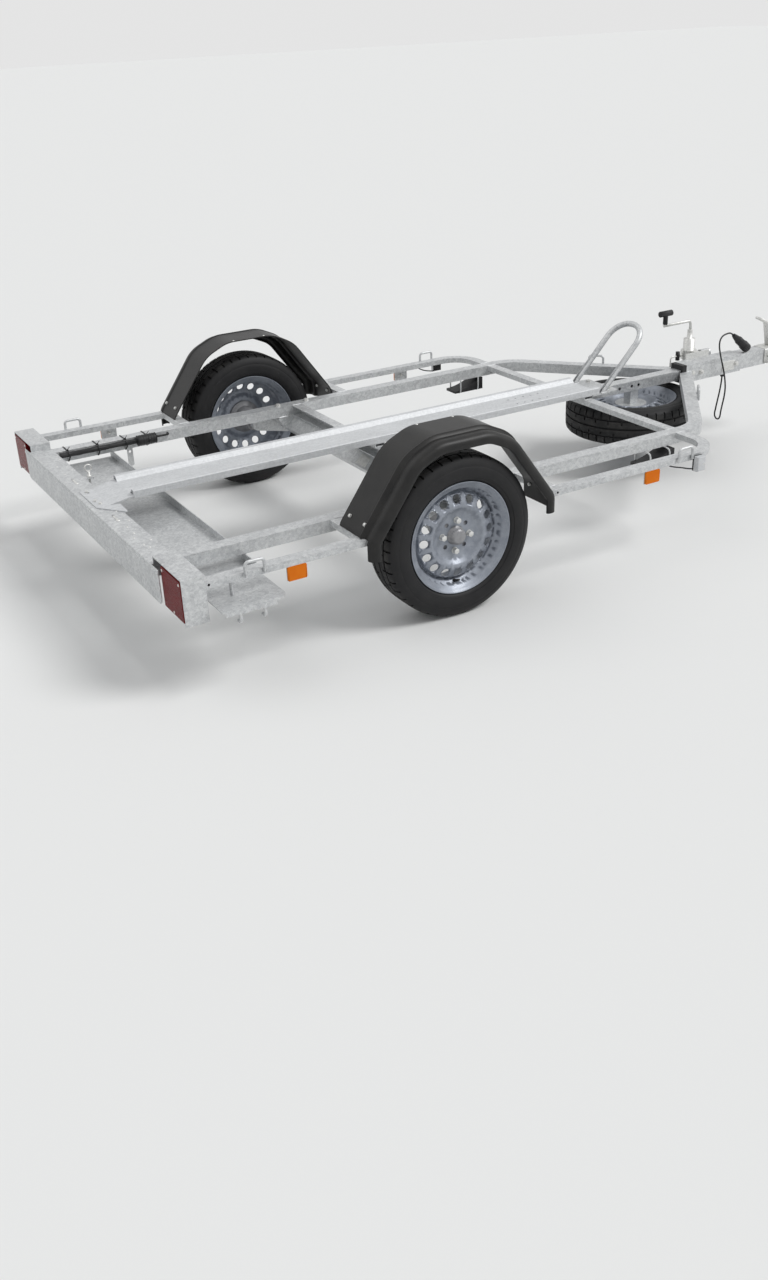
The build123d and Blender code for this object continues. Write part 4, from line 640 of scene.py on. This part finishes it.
def dome(x, y, z, facing, radius, height):
    """The round head of a rivet or a screw, in millimetres."""
    bpy.ops.object.select_all(action="DESELECT")
    bpy.ops.mesh.primitive_uv_sphere_add(segments=16, ring_count=8, radius=radius / 1000)
    head = bpy.context.object
    head.scale = (1, 1, height / radius)
    bpy.ops.object.transform_apply(location=True, rotation=True, scale=True)
    head.data.transform(FACING[facing].to_track_quat("Z", "Y").to_matrix().to_4x4())
    head.data.transform(Matrix.Translation(at(x, y, z)))
    return head


FLAP_OUTLINE = [(-911, -86), (-904, -100), (-846, -176), (-838, -172), (-836, -99), (-866, -91)]
BEAM_TOP_Z = 342
SLOT_Y, SLOT_HALF = 206, 24
BEAM_RIVETS = (
    # along, across
    (-894, 395), (-886, -360), (-900, -398), (-894, -468), (-885, -493), (-893, 300), (-886, -300),
    (-860, 330), (-860, 470), (-862, -250), (-862, -440), (-868, -150),
)
flap = plate("tongue_flap", FLAP_OUTLINE, BEAM_TOP_Z + 0.2, 3)
joined("tongue_flap", [flap], "frame", rolled)
rivets = [dome(x, y, BEAM_TOP_Z, "+z", 3.6, 1.8) for x, y in BEAM_RIVETS]
joined("beam_rivets", rivets, "frame", plated)
slot_pins = []
for side in (1, -1):
    start, end = side * SLOT_Y - SLOT_HALF, side * SLOT_Y + SLOT_HALF
    slot_pins.append(block(-894, -886, start, end, 338.5, 343.5, 2))
    slot_pins.append(dome(-890, start, 341, "+z", 6.5, 4))
joined("slot_bolts", slot_pins, "frame", plated)


# Rims: pressed steel in satin silver paint, coloured darker and bluer than that paint as painted
# shade, with a grey veil of brake dust round the holes, and the hubs behind them in darker paint.
def silver_paint_in_painted_shade(name):
    # Every colour here is darker and bluer than the silver paint itself: painted shade.
    finish = Finish(name, (0.32, 0.34, 0.38), 0.38, 0.45, 0.15)
    dust = finish.cloud(0.03, 4)
    flake = finish.grains(0.0012)
    veil = finish.graded(dust * 0.8 + flake * 0.2, (0.25, 0), (0.75, 1))
    finish.set("Base Color", finish.between(veil, (0.20, 0.22, 0.26), (0.36, 0.385, 0.43)))
    finish.set("Roughness", 0.36 + dust * 0.22)
    finish.relief(finish.cloud(0.002, 2), 0.0001, 0.4)
    return finish.material


silver_in_painted_shade = silver_paint_in_painted_shade("silver_rim_paint_in_painted_shade")
RIMS = (("rim_left", "wheel_left"), ("rim_right", "wheel_right"), ("spare_rim", "frame"))
for node, body in RIMS:
    smoothed(node, body, silver_in_painted_shade, 30)
smoothed("jockey_rim", "jockey_wheel", silver_in_painted_shade, 30)
hub_paint = Finish("hub_paint", (0.30, 0.30, 0.31), 0.45, 0.4)
hub_cloud = hub_paint.cloud(0.02, 3)
hub_paint.set("Base Color", hub_paint.between(hub_cloud, (0.16, 0.16, 0.17), (0.42, 0.42, 0.43)))
hub_paint.set("Roughness", 0.3 + hub_cloud * 0.3)
for node, body in (("hub_left", "wheel_left"), ("hub_right", "wheel_right")):
    smoothed(node, body, hub_paint.material, 30)


# Wheel fittings: four ball-seat wheel bolts in the holes that line up with the hub, and a black
# rubber valve that leans out of the rim's well.
WHEEL_BOLT_START = 85
BOLT_CIRCLE_R, DISC_FACE_Y = 50, 790
wheel_bolt = hex_bolt(17, 13)
for side, name, body in ((1, "left", "wheel_left"), (-1, "right", "wheel_right")):
    facing = "+y" if side > 0 else "-y"
    spots = []
    for i in range(4):
        angle = radians(WHEEL_BOLT_START + 90 * i)
        x, z = BOLT_CIRCLE_R * cos(angle), WHEEL_Z + BOLT_CIRCLE_R * sin(angle)
        spots.append((x, side * DISC_FACE_Y, z, facing))
    fastened("wheel_bolts_" + name, wheel_bolt, spots, body)
valve_finish = Finish("valve_rubber", (0.015, 0.015, 0.016), 0.5)
valve_finish.set("Base Color", valve_finish.between(
    valve_finish.cloud(0.006, 2), (0.010, 0.010, 0.011), (0.028, 0.028, 0.030)
))
valve_rubber = valve_finish.material
VALVES = (
    # name, body, middle of the wheel, way the disc faces, way the valve lies from the middle
    ("left_valve", "wheel_left", (0, WHEEL_Y, WHEEL_Z), (0, 1, 0), (-0.035, 0, -1)),
    ("right_valve", "wheel_right", (0, -WHEEL_Y, WHEEL_Z), (0, -1, 0), (-0.035, 0, -1)),
    ("spare_valve", "frame", (SPARE_X, 0, SPARE_Z), (0, 0, 1), (-0.7, -0.7, 0)),
)
VALVE_STEM = (
    # start, length, radius
    (-4, 8, 7), (2, 20, 4.6), (20, 12, 3.9),
)
VALVE_FROM_MIDDLE, VALVE_FROM_DISC = 157, 26
for name, body, middle, face, down in VALVES:
    face, down = Vector(face), Vector(down).normalized()
    foot = Vector(middle) + down * VALVE_FROM_MIDDLE + face * VALVE_FROM_DISC
    way = (face * 0.9 - down * 0.45).normalized()
    stem = []
    for start, length, radius in VALVE_STEM:
        bpy.ops.object.select_all(action="DESELECT")
        bpy.ops.mesh.primitive_cylinder_add(vertices=20, radius=radius / 1000, depth=length / 1000)
        stem.append(bpy.context.object)
        stem[-1].data.transform(Matrix.Translation((0, 0, (start + length / 2) / 1000)))
        stem[-1].data.transform(way.to_track_quat("Z", "Y").to_matrix().to_4x4())
        stem[-1].data.transform(Matrix.Translation(at(*foot)))
    joined(name, stem, body, valve_rubber)
for master in (large_bolt, large_nut, small_bolt, small_nut, wheel_bolt):
    bpy.data.objects.remove(master)


# Mudguards: black polyethylene, moulded with a fine leather-like grain, a little dusty on top. The
# top ends in a ridge, and the outer edge is rolled over in a round bulge with a lip turned in.
def moulded_black(name, dark, pale, grain, shine):
    finish = Finish(name, dark, shine)
    dust = finish.cloud(0.07, 4)
    pebble = finish.grains(grain)
    finish.set("Base Color", finish.between(finish.graded(dust, (0.3, 0), (0.8, 1)), dark, pale))
    finish.set("Roughness", shine + dust * 0.16)
    finish.set("Specular IOR Level", 0.32)
    finish.relief(pebble * 0.5 + finish.cloud(grain, 2) * 0.5, 0.0003, 0.5)
    return finish.material


GUARD_TOP_Z = 603
TIE_TOP_Z = 339.3
GUARD_LINE = (
    # along, height, radius of the bend
    (-344.7, 275, 0), (-344.7, 341, 60), (-185, 560, 140), (-90, GUARD_TOP_Z, 140),
    (100, GUARD_TOP_Z, 140), (195, 560, 140), (354.7, 341, 60), (354.7, 281, 0),
)
GUARD_SECTION = (
    # depth below the top, distance out from the middle of the trailer
    (0, 670), (0, 795), (-2, 797.5), (-3, 800), (-2, 802.5), (4, 805), (8, 809), (9, 815), (8, 822),
    (7.5, 830), (8.5, 838), (12, 846), (17, 851), (24, 854.2), (32, 855), (39, 854), (44, 850.5),
    (45, 846), (43, 843),
)


def round_bends(rows, steps=7):
    """A line whose corners are rounded by arcs, from rows of a corner and its radius."""
    corners = [row[:2] for row in rows]
    line = [Vector(corners[0])]
    for before, here, after, (*_, bend_r) in zip(corners, corners[1:], corners[2:], rows[1:]):
        back = (Vector(before) - Vector(here)).normalized()
        on = (Vector(after) - Vector(here)).normalized()
        half = back.angle(on) / 2
        middle = Vector(here) + (back + on).normalized() * (bend_r / sin(half))
        first = Vector(here) + back * (bend_r / tan(half)) - middle
        last = Vector(here) + on * (bend_r / tan(half)) - middle
        swing = first.angle_signed(last)
        for i in range(steps + 1):
            line.append(middle + Matrix.Rotation(-swing * i / steps, 2) @ first)
    line.append(Vector(corners[-1]))
    return line


def flat_curve(name, points):
    """A flat line through points in millimetres."""
    curve = bpy.data.curves.new(name, "CURVE")
    curve.dimensions = "2D"
    curve.fill_mode = "NONE"
    line = curve.splines.new("POLY")
    line.points.add(len(points) - 1)
    for point, spot in zip(line.points, points):
        point.co = (spot[0] / 1000, spot[1] / 1000, 0, 1)
    return placed(name, curve)


def behind_the_rail(spot, normal):
    """The part of a mudguard's rear leg that would pass through the outer rail's tie."""
    return spot.x < at(-200, 0, 0).x and abs(spot.y - at(0, 0, 0).y) < 0.821


guard_black = moulded_black(
    "mudguard_plastic", (0.008, 0.008, 0.008), (0.024, 0.023, 0.022), 0.0016, 0.34
)
for side, node in ((-1, "mudguard_right"), (1, "mudguard_left")):
    section = flat_curve("guard_section", GUARD_SECTION)
    sweep = flat_curve(node + "_moulding", round_bends(GUARD_LINE))
    sweep.data.bevel_mode = "OBJECT"
    sweep.data.bevel_object = section
    moulding = meshed(sweep)
    bpy.data.objects.remove(section)
    stand = Matrix(((1, 0, 0, 0), (0, 0, side, 0), (0, 1, 0, 0), (0, 0, 0, 1)))
    moulding.data.transform(Matrix.Translation(at(0, 0, 0)) @ stand)
    edit(moulding)
    bpy.ops.mesh.select_all(action="SELECT")
    bpy.ops.mesh.remove_doubles(threshold=0.00002)
    bpy.ops.mesh.normals_make_consistent(inside=False)
    bpy.ops.object.mode_set(mode="OBJECT")
    top = max(moulding.data.polygons, key=lambda face: face.center.z)
    if top.normal.z < 0:
        edit(moulding)
        bpy.ops.mesh.select_all(action="SELECT")
        bpy.ops.mesh.flip_normals()
        bpy.ops.object.mode_set(mode="OBJECT")
    edit(moulding)
    pick(moulding, behind_the_rail)
    bpy.ops.mesh.bisect(plane_co=at(0, 0, TIE_TOP_Z), plane_no=(0, 0, 1), clear_inner=True)
    bpy.ops.object.mode_set(mode="OBJECT")
    lone([moulding])
    sheet = moulding.modifiers.new("sheet", "SOLIDIFY")
    sheet.thickness = 0.004
    sheet.offset = -1
    bpy.ops.object.modifier_apply(modifier="sheet")
    bpy.ops.object.shade_smooth_by_angle(angle=radians(34))
    moulding.data.materials.clear()
    moulding.data.materials.append(guard_black)
    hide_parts(node)
    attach(moulding, "frame")
rivet_rows = [dome(x, side * 676, GUARD_TOP_Z, "+z", 4, 2) for side in (1, -1) for x in (-60, 70)]
joined("guard_rivets", rivet_rows, "frame", plated)
plain_black = moulded_black(
    "black_plastic", (0.012, 0.012, 0.013), (0.035, 0.035, 0.036), 0.0012, 0.40
)
coat(plain_black, "lamp_bodies", "drawbar_plug", "wiring")
smoothed("coupling_lever", "frame", plated, 40)
smoothed("jockey_grip", "frame", plain_black, 30)
smoothed("clamp_knobs", "frame", plain_black, 30)
smoothed("jockey_tyre", "jockey_wheel", plain_black, 30)


# Lamps: dark red lenses with moulded rows of prisms, clear front markers, and amber reflectors
# with the small cells that throw light back. Each cell's middle has a painted glint.
def lens(name, deep, glint_colour, cell, glint_share):
    finish = Finish(name, deep, 0.22)
    finish.set("Specular IOR Level", 0.08)
    cells =finish.node("TexVoronoi", {"feature": "DISTANCE_TO_EDGE"}, {
        "Vector": finish.place(), "Scale": 1 / cell, "Randomness": 0.0,
    })
    patch = finish.cloud(0.03, 1)
    ridge = finish.graded(cells, (0.0, 0), (0.35, 1))
    # Cell middles take the lighter colour and cell edges the deep one: painted glints on the
    # prisms, painted shade in the grooves between them.
    finish.set("Base Color", finish.between(ridge * glint_share + patch * 0.25, deep, glint_colour))
    finish.relief(ridge, 0.0006, 0.6)
    return finish.material


red_lens = lens("red_lens", (0.075, 0.001, 0.002), (0.24, 0.004, 0.006), 0.0045, 0.6)
clear_lens = lens("clear_lens", (0.42, 0.43, 0.44), (0.80, 0.81, 0.82), 0.005, 0.8)
amber_lens = lens("amber_lens", (0.62, 0.13, 0.006), (0.95, 0.34, 0.03), 0.0035, 0.8)
smoothed("tail_lamp_lenses", "frame", red_lens, 30)
smoothed("marker_lenses", "frame", clear_lens, 30)
smoothed("side_reflectors", "frame", amber_lens, 30)


# Wiring: a bundle of thin black wires along the left main rail, held by cable ties that go round
# the rail, with a taped joint. A wire goes on from the front marker lamps to the outer rails.
def wire_run(points, radius, rounds=3):
    """A wire through places in millimetres, made a mesh."""
    line = bpy.data.curves.new("wire", "CURVE")
    line.dimensions = "3D"
    line.bevel_depth = radius / 1000
    line.bevel_resolution = rounds - 1
    line.resolution_u = 3
    line.use_fill_caps = True
    run = line.splines.new("NURBS")
    run.points.add(len(points) - 1)
    for point, spot in zip(run.points, points):
        point.co = (*at(*spot), 1)
    run.order_u = 3
    run.use_endpoint_u = True
    return meshed(placed("wire", line))


LOOM_Y, LOOM_Z = 547.7, 328
LOOM_START, LOOM_END = -838, -540
WRAP_START, WRAP_END, WRAP_Y = -541, -471, 543.7
STRANDS, STRAND_STEPS, RIBS = 8, 13, 15
bundle = []
for strand in range(STRANDS):
    strand_points = []
    for i in range(STRAND_STEPS + 1):
        x = LOOM_START + (LOOM_END - LOOM_START) * i / STRAND_STEPS
        turn = 2 * pi * strand / STRANDS + 0.9 * sin(i * 0.8 + strand * 2.1)
        reach = 8.2 + 1.2 * sin(i * 1.3 + strand)
        strand_points.append((x, LOOM_Y + reach * cos(turn), LOOM_Z + reach * sin(turn)))
    bundle.append(wire_run(strand_points, 1.7))
joined("loom_strands", bundle, "frame", plain_black)
ribs = []
for i in range(RIBS):
    x = WRAP_START + (WRAP_END - WRAP_START) * i / (RIBS - 1)
    bpy.ops.object.select_all(action="DESELECT")
    bpy.ops.mesh.primitive_torus_add(
        major_radius=0.0184 - 0.0012 * (i % 2), minor_radius=0.0016, major_segments=28,
        minor_segments=8, location=at(x, WRAP_Y, LOOM_Z), rotation=(0, pi / 2, 0),
    )
    ribs.append(bpy.context.object)
joined("taped_joint", ribs, "frame", plain_black)
TIE_LOOP = (
    # across, height
    (562, 298.2), (614, 298.2), (614, 340.2), (560, 340.2), (541, 339.5), (536, 333), (536, 322),
    (541, 316),
)
TIES = (
    # along, how much farther in the loop reaches, which is more over the taped joint
    (-805, 0), (-692, 0), (-585, 0), (-500, -14),
)
ties = []
for x, inset in TIES:
    loop = [(y + (inset if y < 560 else 0), z) for y, z in TIE_LOOP]
    band = flat_curve("cable_tie", loop)
    band.data.splines[0].use_cyclic_u = True
    band.data.extrude = 0.0022
    band.data.bevel_depth = 0.0006
    ties.append(meshed(band))
    ties[-1].data.transform(Matrix(((0, 0, 1, 0), (1, 0, 0, 0), (0, 1, 0, 0), (0, 0, 0, 1))))
    ties[-1].data.transform(Matrix.Translation(at(x, 0, 0)))
    ties.append(block(x - 3.5, x + 3.5, 553, 560, 340, 345, 1))
    ties.append(wire_run([(x, 557, 342), (x + 2, 552, 350), (x + 6, 546, 356)], 1.1))
joined("cable_ties", ties, "frame", plain_black)
marker_wires = []
for side in (1, -1):
    marker_wires.append(wire_run([
        (962, side * 822, 286), (950, side * 812, 284), (925, side * 800, 291),
        (895, side * 797, 298), (868, side * 798, 308), (852, side * 800, 320),
    ], 2.4))
joined("marker_wires", marker_wires, "frame", plain_black)
lamp_wires = []
for side in (1, -1):
    lamp_wires.append(wire_run([
        (-884, side * 700, 300), (-868, side * 690, 292), (-856, side * 660, 300),
        (-846, side * 640, 318), (-840, side * 616, 326), (-838, side * 600, 326),
    ], 3))
joined("lamp_wires", lamp_wires, "frame", plain_black)


# Small fittings: the lamps' screws, blank plates on the drawbar and the axle, a rubber wheel chock
# parked in a wire holder under each main rail, and the brackets inside the mudguards.
def turned(piece, pivot, degrees):
    """Turns a loose shape about a line along Y through a place."""
    piece.data.transform(
        Matrix.Translation(pivot) @ Matrix.Rotation(radians(degrees), 4, "Y")
        @ Matrix.Translation(-pivot)
    )


TAIL_SCREWS = ((690, 348), (814, 348), (752, 242))
lamp_screws = []
for side in (1, -1):
    facing = "+y" if side > 0 else "-y"
    lamp_screws += [dome(-924, side * y, z, "-x", 4.2, 2.0) for y, z in TAIL_SCREWS]
    lamp_screws += [dome(x, side * 846.3, 306, facing, 3, 1.2) for x in (962, 982)]
joined("lamp_screws", lamp_screws, "frame", plated)
blank_plate = block(1858, 1928, -37, -35, 304, 346, 0.8)
joined("drawbar_plate", [blank_plate], "frame", plated)
plate_rivets = [dome(x, -37, z, "-y", 2.2, 1.2) for x in (1863, 1923) for z in (309, 341)]
joined("plate_rivets", plate_rivets, "frame", plated)
axle_plate = block(87, 127, -59, 9, 273.2, 274, 0.3)
turned(axle_plate, at(107, 0, 273), -45)
joined("axle_plate", [axle_plate], "frame", plated)

WEDGE_FLOOR_Z, WEDGE_TOP_Z = 246, 292
WEDGE_Y = 602
wedges = []
holders = []
for side in (1, -1):
    profile = [(902, WEDGE_FLOOR_Z), (1040, WEDGE_FLOOR_Z), (1040, WEDGE_TOP_Z)]
    for i in range(9):
        along = i / 8
        profile.append((1028 - 126 * along, WEDGE_TOP_Z - 40 * sin(along * pi / 2) ** 0.8))
    outline = flat_curve("wedge", profile)
    outline.data.splines[0].use_cyclic_u = True
    outline.data.fill_mode = "BOTH"
    outline.data.extrude = 0.034
    outline.data.bevel_depth = 0.002
    wedge = meshed(outline)
    wedge.data.transform(Matrix(((1, 0, 0, 0), (0, 0, -1, 0), (0, 1, 0, 0), (0, 0, 0, 1))))
    wedge.data.transform(Matrix.Translation(at(0, side * WEDGE_Y, 0)))
    wedges.append(wedge)
    for x in (925, 1015):
        holders.append(wire_run([
            (x, side * 562, 300), (x, side * 562, 262), (x, side * 564, 243), (x, side * 602, 241),
            (x, side * 641, 243), (x, side * 643, 262), (x, side * 643, 286), (x, side * 634, 298),
            (x, side * 606, 298),
        ], 3))
joined("parked_chocks", wedges, "frame", plain_black, 40)
joined("chock_holders", holders, "frame", galvanised)

BRACE_WIDTH, LEG_SLOPE = 24, 36.1
braces = []
for side in (1, -1):
    for y in (690, 780):
        near, far = side * y, side * (y + BRACE_WIDTH)
        braces.append(block(-339, -336, near, far, 341, 395, 0.8))
        turned(braces[-1], at(-339, 0, 341), LEG_SLOPE)
        braces.append(block(-336, -308, near, far, TIE_TOP_Z, 342.5, 0.8))
joined("mudguard_braces", braces, "frame", galvanised)


# Supply cable: black rubber, 6.5 mm thick. It comes out of a gland under the drawbar, hangs in a
# loop, climbs past the jockey wheel's clamp and ends in its connector on the nose tube.
CABLE_ROUTE = (
    (1875.0, -22.0, 280.0), (1875.0, -22.0, 262.0), (1869.0, -25.0, 236.0), (1862.0, -26.0, 202.0),
    (1855.0, -26.0, 170.0), (1849.0, -27.0, 143.0), (1845.0, -26.0, 119.0), (1842.0, -39.0, 106.0),
    (1838.0, -57.0, 106.0), (1835.0, -70.0, 119.0), (1835.0, -72.0, 146.0), (1842.0, -71.0, 176.0),
    (1850.0, -70.0, 208.0), (1854.0, -68.0, 243.0), (1849.0, -66.0, 281.0), (1841.0, -63.0, 317.0),
    (1830.0, -60.0, 352.0), (1819.0, -56.0, 391.0), (1814.0, -51.0, 424.0), (1821.0, -46.0, 448.0),
    (1842.0, -40.0, 462.0), (1874.0, -33.0, 464.0), (1903.2, -24.2, 460.8), (1920.7, -22.9, 447.5),
)
cable_rubber = moulded_black(
    "cable_rubber", (0.010, 0.010, 0.011), (0.028, 0.028, 0.029), 0.002, 0.34
)
cable_line = bpy.data.curves.new("supply_cable_line", "CURVE")
cable_line.dimensions = "3D"
cable_line.bevel_depth = 0.00325
cable_line.bevel_resolution = 5
cable_line.resolution_u = 10
cable_line.use_fill_caps = True
run = cable_line.splines.new("NURBS")
run.points.add(len(CABLE_ROUTE) - 1)
for point, spot in zip(run.points, CABLE_ROUTE):
    point.co = (*at(*spot), 1)
run.order_u = 3
run.use_endpoint_u = True
cable = placed("supply_cable_run", cable_line)
cable_line.materials.append(cable_rubber)
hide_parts("supply_cable")
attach(cable, "frame")
connector = smoothed("cable_connector", "frame", cable_rubber, 30)
smoothed("cable_gland", "frame", cable_rubber, 30)
at(*CABLE_ROUTE[0])
